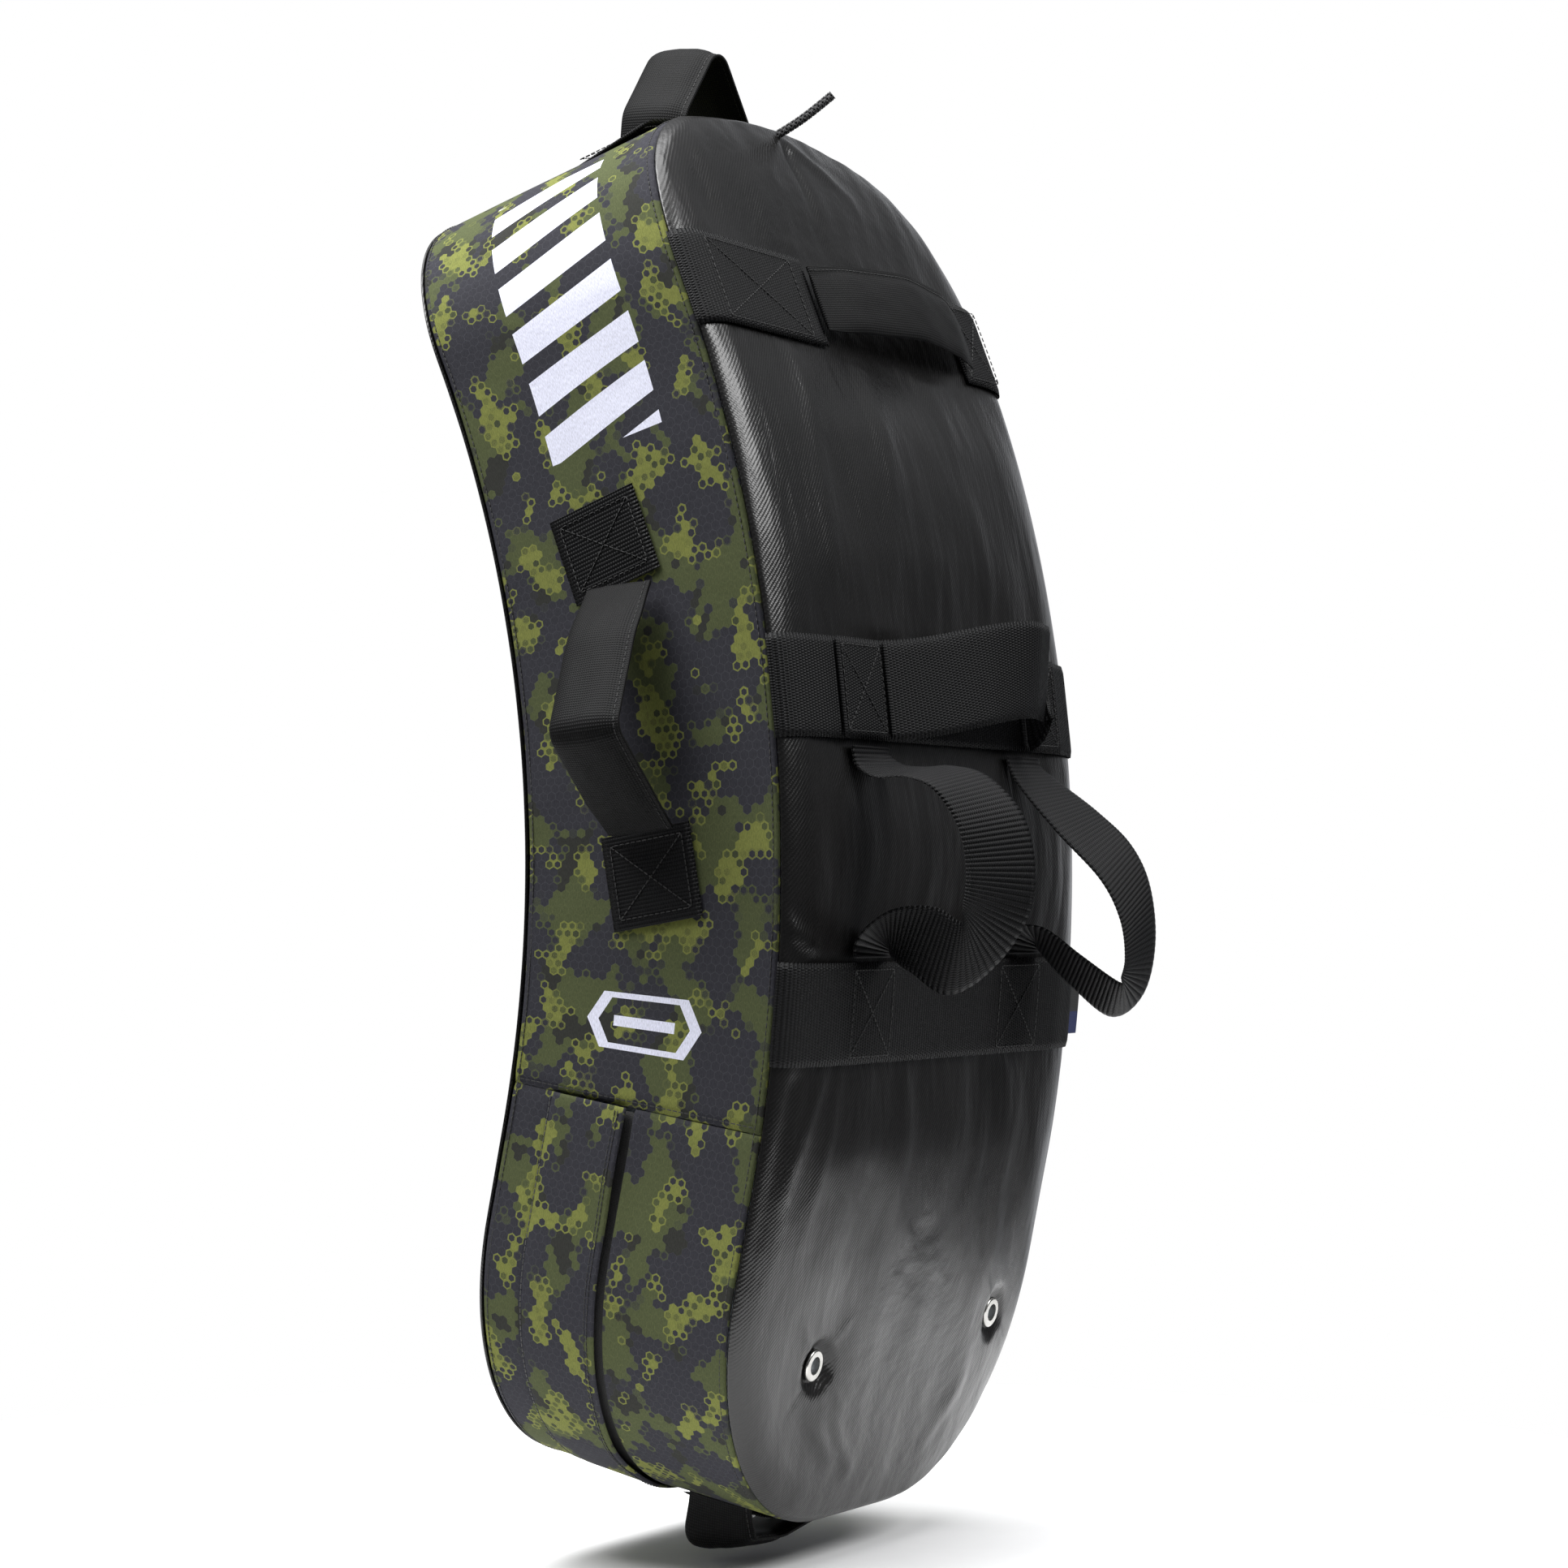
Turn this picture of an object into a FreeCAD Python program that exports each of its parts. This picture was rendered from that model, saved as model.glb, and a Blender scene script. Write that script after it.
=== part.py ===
import FreeCAD, Part
import math
import os

# Curved, hand-held strike shield for kick and punch training: a foam body in a zipped cover, with webbing
# handles on its back, sides, top and bottom. Millimetres.
#
# Frame: the origin is on the rear face, midway between the forearm strap and the lower strap, where the
# holder's arm carries it. +Z runs up along the face there, +Y points out of the rear face at the holder,
# and the strike face looks along -Y. +X is the side with the visible zipper flap.
#
# The body is bent, so most pieces are placed by two lengths in the side view: s, along the bent middle
# surface, up from the origin's level, and n, away from that surface towards the rear.

# ---- driving dimensions -------------------------------------------------------------------------------

WIDTH = 334.0
SEAM_DEPTH = 140.0           # from the front seam to the rear seam
FACE_CROWN = 8.0             # each vinyl face swells this far past its seam
EDGE_ROLL = 7.0              # radius of the rolled edge between face and seam

BEND_RADIUS = 710.0          # of the middle surface, about a centre on the strike side
BEND_LOW = -148.0            # the bend runs between these two stations, and both ends are straight
BEND_HIGH = 316.0
BOTTOM = -326.0
TOP = 373.0                  # on the middle surface
TOP_SLOPE = 0.13             # the top surface drops this much per unit of n towards the rear
TOP_ARC = 446.0              # radius of the shallow arc across the top
TOP_CORNER = 95.0            # radius of the two top corners
BOTTOM_CORNER = 130.0        # radius of the two bottom corners

CLOTH = 1.2                  # thickness of the vinyl and of the printed cloth
GAP = 0.3                    # left between neighbouring soft pieces
FOAM_FACE_LAYER = 32.0       # thickness of the denser foam sheet behind each face

WEBBING = 50.0               # width of the wide nylon webbing
GRIP_WEBBING = 42.0          # width of the webbing of the two upright grips
WEB_THICK = 1.6
STRAP_UPPER = 256.0          # stations of the three straps across the back
STRAP_FOREARM = 71.0
STRAP_LOWER = -71.0
UPPER_TAB_INNER = (47.0, -115.0)   # x where the two ends of the upper strap stop
FOREARM_TABS = ((70.0, 120.0), (-132.0, -86.0))   # x of the sewn ends of the forearm loop
TAIL_REACH = 20.0            # a grip's end reaches this far under its strap, from the strap's middle
TAIL_LOW_END = -43.0         # station where both grips leave the lower strap
TAIL_HIGH_END = (35.0, 45.0) # stations where the left and the right grip leave the forearm strap
SIDE_TABS = ((152.0, -8.0, 44.0, 8.0), (-12.0, 1.0, 46.0, 10.0))   # station, n, length and skew
TOP_TABS = (62.0, 106.0)     # x of the sewn ends of the top and bottom handles
BOTTOM_TABS = (26.0, 66.0)

PAD_WIDTH = 38.0             # of a padded handle
PAD_THICK = 8.0
UPPER_PAD_THICK = 6.0        # the handle near the top of the back lies flatter
CORE_WIDTH = 30.0            # of the foam strip inside it
CORE_THICK = 4.0
CORE_GAP = 0.2
CORE_FOOT = 4.0              # the strip stops this far above the foot of its handle

GUSSET_SEAM = -124.0         # where the upper gusset meets the lower gusset with the zipper
SEAM_GAP = 0.4
END_HANDLE_N = 34.0          # the top and bottom handles sit on the rear half of the gusset

ZIP_N = -11.6                # the zipper's centre line
ZIP_SLOT_FRONT = -20.0       # cloth edges on both sides of the zipper
ZIP_SLOT_REAR = 0.5
FLAP_SEAM_N = -48.0          # the flap is sewn here and lies loose up to its free edge
FLAP_EDGE_N = -3.5
FLAP_END = -206.0            # on the -X side it stops short, to leave the slider in the open
ZIP_TAPE_OUT = 18.0          # reach of each tape from the centre line
ZIP_HALF_SLIT = 1.2          # half of the slit between the two tapes
ZIP_TOOTH = 2.4              # width of one coil
ZIP_HALF_GAP = 1.0           # half of the gap between the two coils
FLAP_RISE = (0.4, 1.6)       # the flap lies between these two heights above the side
TAPE_DEPTHS = (1.6, 2.1)     # depths of the zipper tapes, counted inwards from the side
COIL_DEPTHS = (2.4, 3.5)     # depths of the coils
TAPE_END = GUSSET_SEAM - 2.0
COIL_END = GUSSET_SEAM - 7.0
STOP_STATIONS = (GUSSET_SEAM - 6.0, GUSSET_SEAM - 3.0)
GROOVE_DEPTH = 7.5           # relief in the foam behind the zipper
GROOVE_MARGIN = 3.0          # the relief is this much wider and longer than the tapes

SLIDER_S = -142.0            # the slider's station with the zipper closed
SLIDER_LENGTH = 11.0
SLIDER_HALF_WIDTH = 5.2
PLATE = 0.8
SLIDER_OUTER = 0.5           # depths at which the slider's two plates start
SLIDER_INNER = 3.8
SLIDER_BACK = SLIDER_INNER + PLATE
DIVIDER_LENGTH = 4.0
DIVIDER_HALF_WIDTH = 0.6
FLANGE_WIDTH = 1.2
FLANGE_TOP = 2.3
LUG_INNER = 2.4              # the two lugs that hold the pull's pivot, from the centre line
LUG_THICK = 1.2
LUG_HALF_LENGTH = 1.2
LUG_DEPTHS = (-1.5, 0.6)
PIVOT_S = SLIDER_S + 3.0
PIVOT_DEPTH = -0.5
PIVOT_RADIUS = 0.45
PIVOT_HALF_LENGTH = 3.0
PULL_LENGTH = 20.0
PULL_WIDTH = 6.0
PULL_THICK = 1.2
PULL_DEPTH = -1.1            # where the pull's outer face lies
PULL_NECK_HALF_WIDTH = 2.1
PULL_NECK_LENGTH = 4.0
PULL_TAB_START = 3.5         # the wide tab starts this far below the pivot
PULL_BARREL_RADIUS = 0.9
PULL_WINDOW = (9.0, 17.0)    # the window in the tab, from the pivot
PULL_WINDOW_HALF_WIDTH = 1.4

EYELET_PLACES = ((85.0, -239.0), (-114.0, -230.0))   # x and station of the two air vents
EYELET_BORE = 4.6
EYELET_RIM = 8.2
EYELET_WALL = 1.0            # wall of the barrel through the vinyl
EYELET_BARREL = 3.6          # how deep the barrel reaches
EYELET_TOP = 1.5             # height of the rim above the vinyl
EYELET_LIFT = 0.1
WASHER_DEPTHS = (CLOTH + EYELET_LIFT, 3.0)
POCKET_DEPTH = 5.0           # relief in the foam round each barrel

LABEL_S = -74.0
LABEL_LENGTH = 28.0
LABEL_REACH = 14.0
LABEL_THICK = 0.8
LABEL_FOLD = 4.6             # the sewn-in root of the label sticks out this far from the side
LABEL_HINGE_GAP = 0.6

CORD_RADIUS = 2.25
CORD_ROUTE = ((8.0, -90.6, 374.2), (7.2, -80.8, 378.8), (5.0, -70.8, 385.4), (2.0, -61.2, 393.2))

# ---- derived lengths ----------------------------------------------------------------------------------

HALF = WIDTH / 2
SEAM_N = SEAM_DEPTH / 2
FACE_N = SEAM_N + FACE_CROWN
CENTRE_Y = -FACE_N - BEND_RADIUS
FOAM_INSET = CLOTH + GAP
FOAM_SPLIT_N = FACE_N - FOAM_INSET - FOAM_FACE_LAYER
FAR = 1200.0                 # reach of cutting tools, larger than the object

X_AXIS = FreeCAD.Vector(1, 0, 0)


# ---- the bent frame -----------------------------------------------------------------------------------

def bend_angle(s):
    return min(max(s, BEND_LOW), BEND_HIGH) / BEND_RADIUS


def place(s, n, x=0.0):
    """The point at station s, height n from the middle surface and distance x from the middle plane."""
    angle = bend_angle(s)
    beyond = s - angle * BEND_RADIUS
    radius = BEND_RADIUS + n
    y = CENTRE_Y + radius * math.cos(angle) - beyond * math.sin(angle)
    z = radius * math.sin(angle) + beyond * math.cos(angle)
    return FreeCAD.Vector(x, y, z)


def along(s):
    """Unit vector up the surface at station s."""
    angle = bend_angle(s)
    return FreeCAD.Vector(0, -math.sin(angle), math.cos(angle))


def outward(s):
    """Unit vector towards the rear at station s."""
    angle = bend_angle(s)
    return FreeCAD.Vector(0, math.cos(angle), math.sin(angle))


def frame_at(origin, first, second):
    """Placement whose local x and y axes point along first and second."""
    third = first.cross(second)
    rotation = FreeCAD.Rotation(first, second, third, "XYZ")
    return FreeCAD.Placement(origin, rotation)


def side_curve(s_low, s_high, n):
    stops = [s_low] + [s for s in (BEND_LOW, BEND_HIGH) if s_low < s < s_high] + [s_high]
    edges = []
    for low, high in zip(stops, stops[1:]):
        if low >= BEND_LOW and high <= BEND_HIGH:
            middle = place((low + high) / 2, n)
            edges.append(Part.Arc(place(low, n), middle, place(high, n)).toShape())
        else:
            edges.append(Part.LineSegment(place(low, n), place(high, n)).toShape())
    return edges


def slab(s_low, s_high, n_low, n_high, x_low=-FAR, x_high=FAR):
    """A bent plate between two stations, two heights and two distances from the middle plane."""
    edges = side_curve(s_low, s_high, n_low) + side_curve(s_low, s_high, n_high)
    for s in (s_low, s_high):
        edges.append(Part.LineSegment(place(s, n_low), place(s, n_high)).toShape())
    face = Part.Face(Part.Wire(Part.__sortEdges__(edges)))
    face.translate(X_AXIS * x_low)
    return face.extrude(X_AXIS * (x_high - x_low))


def prism(edges, s, slope=0.0):
    """Extrudes an outline through the whole body. It is drawn across the straight end that starts at s."""
    face = Part.Face(Part.Wire(Part.__sortEdges__(edges)))
    face.Placement = frame_at(place(s, 0), X_AXIS, along(s))
    direction = outward(s) - along(s) * slope
    face.translate(direction * -FAR)
    return face.extrude(direction * (2 * FAR))


def line(start, end):
    return Part.LineSegment(FreeCAD.Vector(*start, 0), FreeCAD.Vector(*end, 0)).toShape()


def arc(start, middle, end):
    return Part.Arc(*[FreeCAD.Vector(*point, 0) for point in (start, middle, end)]).toShape()


def top_outline(inset):
    """Straight sides, two round corners and a shallow arc between them, drawn from the station BEND_HIGH."""
    half = HALF - inset
    corner_x = HALF - TOP_CORNER
    crown_s = TOP - TOP_ARC - BEND_HIGH
    reach = TOP_ARC - TOP_CORNER
    corner_s = crown_s + math.sqrt(reach ** 2 - corner_x ** 2)
    tilt = math.asin(corner_x / reach)
    radius = TOP_CORNER - inset
    middle = tilt / 2 + math.pi / 4
    start = (half, corner_s)
    bend = (corner_x + radius * math.sin(middle), corner_s + radius * math.cos(middle))
    end = (corner_x + radius * math.sin(tilt), corner_s + radius * math.cos(tilt))
    crown = (0.0, TOP - inset - BEND_HIGH)
    edges = [arc(end, crown, (-end[0], end[1])), line((-half, -FAR), (half, -FAR))]
    for side in (-1, 1):
        edges.append(arc(*[(side * x, s) for x, s in (start, bend, end)]))
        edges.append(line((side * half, corner_s), (side * half, -FAR)))
    return edges


def bottom_outline(inset):
    half = HALF - inset
    floor = BOTTOM - BEND_LOW + inset
    radius = BOTTOM_CORNER - inset
    flat = half - radius
    slope = radius * math.sqrt(0.5)
    edges = [line((-flat, floor), (flat, floor)), line((-half, FAR), (half, FAR))]
    for side in (-1, 1):
        middle = (side * (flat + slope), floor + radius - slope)
        edges.append(arc((side * flat, floor), middle, (side * half, floor + radius)))
        edges.append(line((side * half, floor + radius), (side * half, FAR)))
    return edges


def footprint(inset):
    """Everything inside the body's outline, drawn in by inset."""
    return prism(top_outline(inset), BEND_HIGH, TOP_SLOPE).common(prism(bottom_outline(inset), BEND_LOW))


def band(outer, inner, n_low, n_high, s_low=BOTTOM - 20, s_high=TOP + 20):
    """A ring of cloth round the body, between two insets from its outline."""
    return slab(s_low, s_high, n_low, n_high).common(footprint(outer)).cut(footprint(inner))


# ---- body ---------------------------------------------------------------------------------------------

def is_rolled(edge, n):
    """True on the rim of a face at height n, and not on the lines where the bend starts and ends."""
    middle = edge.valueAt((edge.FirstParameter + edge.LastParameter) / 2)
    for s in (BEND_LOW, BEND_HIGH):
        if abs((middle - place(s, n)).dot(along(s))) < 0.5:
            return False
    s_guess = math.atan2(middle.z, middle.y - CENTRE_Y) * BEND_RADIUS
    reference = min(max(s_guess, BEND_LOW), BEND_HIGH)
    return abs((middle - place(reference, 0)).dot(outward(reference)) - n) < 0.5


def pillow(swell, n_from, side=1):
    """A plate that ends in the swollen face, on the rear (side 1) or the strike side (side -1)."""
    n_face = side * (FACE_N + swell)
    n_low, n_high = sorted((n_face, side * n_from))
    block = slab(BOTTOM - 20, TOP + 20, n_low, n_high).common(footprint(-swell))
    rim = [edge for edge in block.Edges if is_rolled(edge, n_face)]
    return block.makeFillet(EDGE_ROLL + swell, rim)


def foam_face(side):
    sheet = pillow(-FOAM_INSET, FOAM_SPLIT_N + GAP / 2, side)
    if side > 0:
        for x, s in EYELET_PLACES:
            sheet = sheet.cut(disc(x, s, EYELET_RIM + 1.5, FACE_N - POCKET_DEPTH, FACE_N + POCKET_DEPTH))
    return sheet


def foam_middle():
    reach = FOAM_SPLIT_N - GAP / 2
    block = slab(BOTTOM - 20, TOP + 20, -reach, reach).common(footprint(FOAM_INSET))
    half_width = ZIP_TAPE_OUT + GROOVE_MARGIN
    groove = band(-1.0, GROOVE_DEPTH, ZIP_N - half_width, ZIP_N + half_width,
                  s_high=GUSSET_SEAM + GROOVE_MARGIN)
    return block.cut(groove)


def face_panel(side):
    """Vinyl face: flat cloth with a rolled edge that ends at the seam."""
    skin = pillow(0, SEAM_N, side).cut(pillow(-CLOTH, SEAM_N - 10, side))
    if side > 0:
        for x, s in EYELET_PLACES:
            bore = EYELET_BORE + EYELET_WALL + GAP
            skin = skin.cut(disc(x, s, bore, FACE_N - POCKET_DEPTH, FACE_N + POCKET_DEPTH))
    return skin


def gusset_upper():
    reach = SEAM_N - GAP
    return band(0, CLOTH, -reach, reach, s_low=GUSSET_SEAM + SEAM_GAP)


def gusset_lower(n_low, n_high):
    return band(0, CLOTH, n_low, n_high, s_high=GUSSET_SEAM - SEAM_GAP)


# ---- zipper -------------------------------------------------------------------------------------------

def zipper_flap():
    low, high = FLAP_RISE
    flap = band(-high, -low, FLAP_SEAM_N, FLAP_EDGE_N, s_high=GUSSET_SEAM - SEAM_GAP)
    open_end = slab(FLAP_END, TOP, -SEAM_N, SEAM_N, x_low=-FAR, x_high=-HALF / 2)
    return flap.cut(open_end)


def zipper_tape(side):
    n_low, n_high = sorted((ZIP_N + side * ZIP_HALF_SLIT, ZIP_N + side * ZIP_TAPE_OUT))
    return band(*TAPE_DEPTHS, n_low, n_high, s_high=TAPE_END)


def zipper_coil(side):
    inner = ZIP_N + side * ZIP_HALF_GAP
    n_low, n_high = sorted((inner, inner + side * ZIP_TOOTH))
    return band(*COIL_DEPTHS, n_low, n_high, s_high=COIL_END)


def zipper_stops():
    half = ZIP_HALF_GAP + ZIP_TOOTH
    stops = []
    for side in (-1, 1):
        x_low, x_high = sorted(side * (HALF - depth) for depth in COIL_DEPTHS)
        stops.append(slab(*STOP_STATIONS, ZIP_N - half, ZIP_N + half, x_low, x_high))
    return Part.makeCompound(stops)


def zip_box(s_low, s_high, n_low, n_high, depth_low, depth_high):
    """A small block at the zipper's -X side, at depths counted inwards from the side of the body."""
    size = (depth_high - depth_low, n_high - n_low, s_high - s_low)
    block = Part.makeBox(*size)
    turn = frame_at(FreeCAD.Vector(), X_AXIS, outward(BOTTOM))
    block.Placement = FreeCAD.Placement(place(s_low, n_low, depth_low - HALF), turn.Rotation)
    return block


def zip_pin(half_length, radius):
    """A round bar along the pull's pivot."""
    centre = place(PIVOT_S, ZIP_N, PIVOT_DEPTH - HALF)
    base = centre - outward(BOTTOM) * half_length
    return Part.makeCylinder(radius, 2 * half_length, base, outward(BOTTOM))


def zipper_slider():
    low = SLIDER_S - SLIDER_LENGTH / 2
    high = SLIDER_S + SLIDER_LENGTH / 2
    n_low, n_high = ZIP_N - SLIDER_HALF_WIDTH, ZIP_N + SLIDER_HALF_WIDTH
    outer = zip_box(low, high, n_low, n_high, SLIDER_OUTER, SLIDER_OUTER + PLATE)
    inner = zip_box(low, high, n_low, n_high, SLIDER_INNER, SLIDER_BACK)
    divider = zip_box(high - DIVIDER_LENGTH, high, ZIP_N - DIVIDER_HALF_WIDTH, ZIP_N + DIVIDER_HALF_WIDTH,
                      SLIDER_OUTER, SLIDER_BACK)
    slider = outer.fuse(inner).fuse(divider)
    for side in (-1, 1):
        edge = ZIP_N + side * SLIDER_HALF_WIDTH
        n_low, n_high = sorted((edge, edge - side * FLANGE_WIDTH))
        slider = slider.fuse(zip_box(low, high, n_low, n_high, FLANGE_TOP, SLIDER_BACK))
        lug = ZIP_N + side * LUG_INNER
        n_low, n_high = sorted((lug, lug + side * LUG_THICK))
        lug_low, lug_high = PIVOT_S - LUG_HALF_LENGTH, PIVOT_S + LUG_HALF_LENGTH
        slider = slider.fuse(zip_box(lug_low, lug_high, n_low, n_high, *LUG_DEPTHS))
    return slider.fuse(zip_pin(PIVOT_HALF_LENGTH, PIVOT_RADIUS)).removeSplitter()


def pull_box(below_top, below_bottom, half_width, depth_low, depth_high):
    """A block of the pull, between two distances below its pivot."""
    return zip_box(PIVOT_S - below_bottom, PIVOT_S - below_top, ZIP_N - half_width, ZIP_N + half_width,
                   depth_low, depth_high)


def zipper_pull():
    back = PULL_DEPTH + PULL_THICK
    barrel = zip_pin(PULL_NECK_HALF_WIDTH, PULL_BARREL_RADIUS)
    neck = pull_box(0, PULL_NECK_LENGTH, PULL_NECK_HALF_WIDTH, PULL_DEPTH, back)
    tab = pull_box(PULL_TAB_START, PULL_LENGTH, PULL_WIDTH / 2, PULL_DEPTH, back)
    window = pull_box(*PULL_WINDOW, PULL_WINDOW_HALF_WIDTH, PULL_DEPTH - 1.0, back + 1.0)
    bore = zip_pin(PIVOT_HALF_LENGTH + 1.0, PIVOT_RADIUS + 0.05)
    return barrel.fuse(neck).fuse(tab).cut(window).cut(bore).removeSplitter()


# ---- webbing that lies flat ---------------------------------------------------------------------------

def strap(s, x_low, x_high, swell_low):
    """Webbing across the back at station s, swell_low above the vinyl and following its rolled edge."""
    outer = pillow(swell_low + WEB_THICK, SEAM_N + 0.6)
    inner = pillow(swell_low, SEAM_N - 10)
    reach = slab(s - WEBBING / 2, s + WEBBING / 2, SEAM_N - 20, FACE_N + 20, x_low, x_high)
    return outer.cut(inner).common(reach)


def flat_web(s, length, x_low, x_high, lift):
    """A short sewn length of webbing on the back, lift above the vinyl."""
    low = FACE_N + lift
    return slab(s - length / 2, s + length / 2, low, low + WEB_THICK, x_low, x_high)


def side_tab(side, s, n, length, skew):
    """A square sewn end on the side of the body, turned by skew degrees."""
    block = Part.makeBox(WEB_THICK, WEBBING, length)
    block.translate(FreeCAD.Vector(0, -WEBBING / 2, -length / 2))
    block.rotate(FreeCAD.Vector(), X_AXIS, skew)
    block.Placement = frame_at(place(s, n, 0), X_AXIS, outward(s)).multiply(block.Placement)
    x = HALF + GAP if side > 0 else -HALF - GAP - WEB_THICK
    block.translate(X_AXIS * x)
    return block


def end_tabs(x_near, x_far, s_low, s_high):
    """The two sewn ends of the top or bottom handle, following the edge of the body."""
    n_low, n_high = END_HANDLE_N - WEBBING / 2, END_HANDLE_N + WEBBING / 2
    ring = band(-GAP - WEB_THICK, -GAP, n_low, n_high, s_low, s_high)
    tabs = []
    for side in (-1, 1):
        x_low, x_high = sorted((side * x_near, side * x_far))
        tabs.append(ring.common(slab(s_low, s_high, -SEAM_N, SEAM_N, x_low, x_high)))
    return Part.makeCompound(tabs)


# ---- webbing loops ------------------------------------------------------------------------------------

def offset_corners(points, radii, distance):
    """Moves a rounded polyline sideways: new corners and the radii that keep its bends concentric."""
    corners = []
    new_radii = []
    for i, point in enumerate(points):
        before = unit(points[max(i - 1, 0)], points[max(i, 1)])
        after = unit(points[min(i, len(points) - 2)], points[min(i + 1, len(points) - 1)])
        normal = (-before[1] - after[1], before[0] + after[0])
        scale = 2 * distance / (normal[0] ** 2 + normal[1] ** 2)
        corners.append((point[0] + normal[0] * scale, point[1] + normal[1] * scale))
        turns_left = before[0] * after[1] - before[1] * after[0] > 0
        new_radii.append(radii[i] - distance if turns_left else radii[i] + distance)
    return corners, new_radii


def unit(start, end):
    dx, dy = end[0] - start[0], end[1] - start[1]
    length = math.hypot(dx, dy)
    return dx / length, dy / length


def rounded_edges(points, radii):
    """Straight runs joined by tangent arcs."""
    edges = []
    here = points[0]
    for i in range(1, len(points) - 1):
        before = unit(points[i - 1], points[i])
        after = unit(points[i], points[i + 1])
        half_turn = math.acos(max(-1.0, min(1.0, before[0] * after[0] + before[1] * after[1]))) / 2
        trim = radii[i] * math.tan(half_turn)
        start = (points[i][0] - before[0] * trim, points[i][1] - before[1] * trim)
        end = (points[i][0] + after[0] * trim, points[i][1] + after[1] * trim)
        inward = unit(points[i], ((start[0] + end[0]) / 2, (start[1] + end[1]) / 2))
        depth = radii[i] / math.cos(half_turn) - radii[i]
        middle = (points[i][0] + inward[0] * depth, points[i][1] + inward[1] * depth)
        edges.append(line(here, start))
        edges.append(arc(start, middle, end))
        here = end
    edges.append(line(here, points[-1]))
    return edges


def ribbon(points, radii, thickness, width):
    """A band of the given thickness along a rounded polyline, centred on the local xy plane."""
    radii = [0] + list(radii) + [0]
    left, left_radii = offset_corners(points, radii, thickness / 2)
    right, right_radii = offset_corners(points, radii, -thickness / 2)
    edges = rounded_edges(left, left_radii) + rounded_edges(right, right_radii)
    edges += [line(left[0], right[0]), line(left[-1], right[-1])]
    face = Part.Face(Part.Wire(Part.__sortEdges__(edges)))
    face.translate(FreeCAD.Vector(0, 0, -width / 2))
    return face.extrude(FreeCAD.Vector(0, 0, width))


def split_loop(solid, height):
    """Parts a loop into the piece above the height, which swings, and its two ends below it."""
    above = Part.makeBox(2 * FAR, FAR, 2 * FAR, FreeCAD.Vector(-FAR, height, -FAR))
    below = Part.makeBox(2 * FAR, FAR, 2 * FAR, FreeCAD.Vector(-FAR, height - FAR, -FAR))
    return solid.common(above), solid.common(below)


def loop(path, radii, width, thickness, foot_height, placement, core=False):
    """Nodes of one loop: the swinging part, its two bending ends and, in a padded one, the foam strip."""
    top, ends = split_loop(ribbon(path, radii, thickness, width), foot_height)
    pieces = {"": top, "_ends": ends}
    if core:
        height = foot_height + CORE_FOOT
        strip, _ = split_loop(ribbon(path, radii, CORE_THICK, CORE_WIDTH), height)
        hollow, _ = split_loop(
            ribbon(path, radii, CORE_THICK + 2 * CORE_GAP, CORE_WIDTH + 2 * CORE_GAP), height - CORE_GAP)
        pieces[""] = top.cut(hollow)
        pieces["_core"] = strip
    for shape in pieces.values():
        shape.Placement = placement.multiply(shape.Placement)
    return pieces


def back_across(s):
    """Local x across the back, local y out of it."""
    return frame_at(place(s, FACE_N), X_AXIS, outward(s))


def back_upright(x):
    """Local x up the back at the origin's level, local y out of it."""
    return frame_at(place(0, FACE_N, x), along(0), outward(0))


def side_upright(side, s, n):
    """Local x up the side, local y out of it."""
    return frame_at(place(s, n, side * HALF), along(s), X_AXIS * side)


def end_across(s, n, up, lean):
    """Local x across the top (up 1) or bottom (up -1), local y out of it, leaning back by lean degrees."""
    angle = math.radians(lean)
    direction = along(s) * (up * math.cos(angle)) + outward(s) * math.sin(angle)
    return frame_at(place(s, n), X_AXIS, direction)


# Loops' centre lines: local x along the surface between the two feet, local y out of it.
FOREARM_PATH = ((73, 6.6), (42, 17), (2, 29), (-42, 35.5), (-76, 27), (-88, 6.6))
FOREARM_BENDS = (60, 90, 60, 12)
UPPER_PATH = ((50, 5.2), (20, 12), (-34, 19.5), (-88, 13), (-118, 5.2))
UPPER_BENDS = (70, 90, 70)
GRIP_LEFT_PATH = ((33, 3.4), (27, 50), (10, 67), (-14, 71), (-36, 68), (-55, 54), (-42, 3.4))
GRIP_LEFT_BENDS = (16, 30, 40, 30, 9)
GRIP_RIGHT_PATH = ((43.5, 3.4), (26, 16), (0, 48), (-20, 64), (-46, 68), (-66, 60), (-42, 3.4))
GRIP_RIGHT_BENDS = (30, 50, 30, 25, 9)
SIDE_PATH = ((62, 6.4), (38, 25), (8, 46), (-18, 47), (-43, 22), (-57, 6.4))
SIDE_BENDS = (60, 24, 24, 40)
TOP_PATH = ((60, -6), (57, 18), (27, 59), (-12, 19), (-60, -6))
TOP_BENDS = (18, 12, 30)
BOTTOM_PATH = ((72, -6), (64, 17), (30, 20), (-20, 12), (-66, -5))
BOTTOM_BENDS = (10, 50, 60)

SIDE_HANDLE_S = 67.0
SIDE_HANDLE_N = -4.0
GRIP_X = 88.0
TOP_FOOT_S = 364.5
TOP_LEAN = 30.0

# Heights above the feet at which the bending ends stop and the swinging parts begin.
UPPER_FOOT, WEB_FOOT, SIDE_FOOT, TOP_FOOT, BOTTOM_FOOT = 10.0, 17.0, 16.0, 20.0, 9.0


def trim_feet(pieces, name):
    """Shapes the feet of an end handle to the sewn tabs on the edge of the body."""
    pieces[name] = pieces[name].cut(footprint(-2 * GAP - WEB_THICK))


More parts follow.
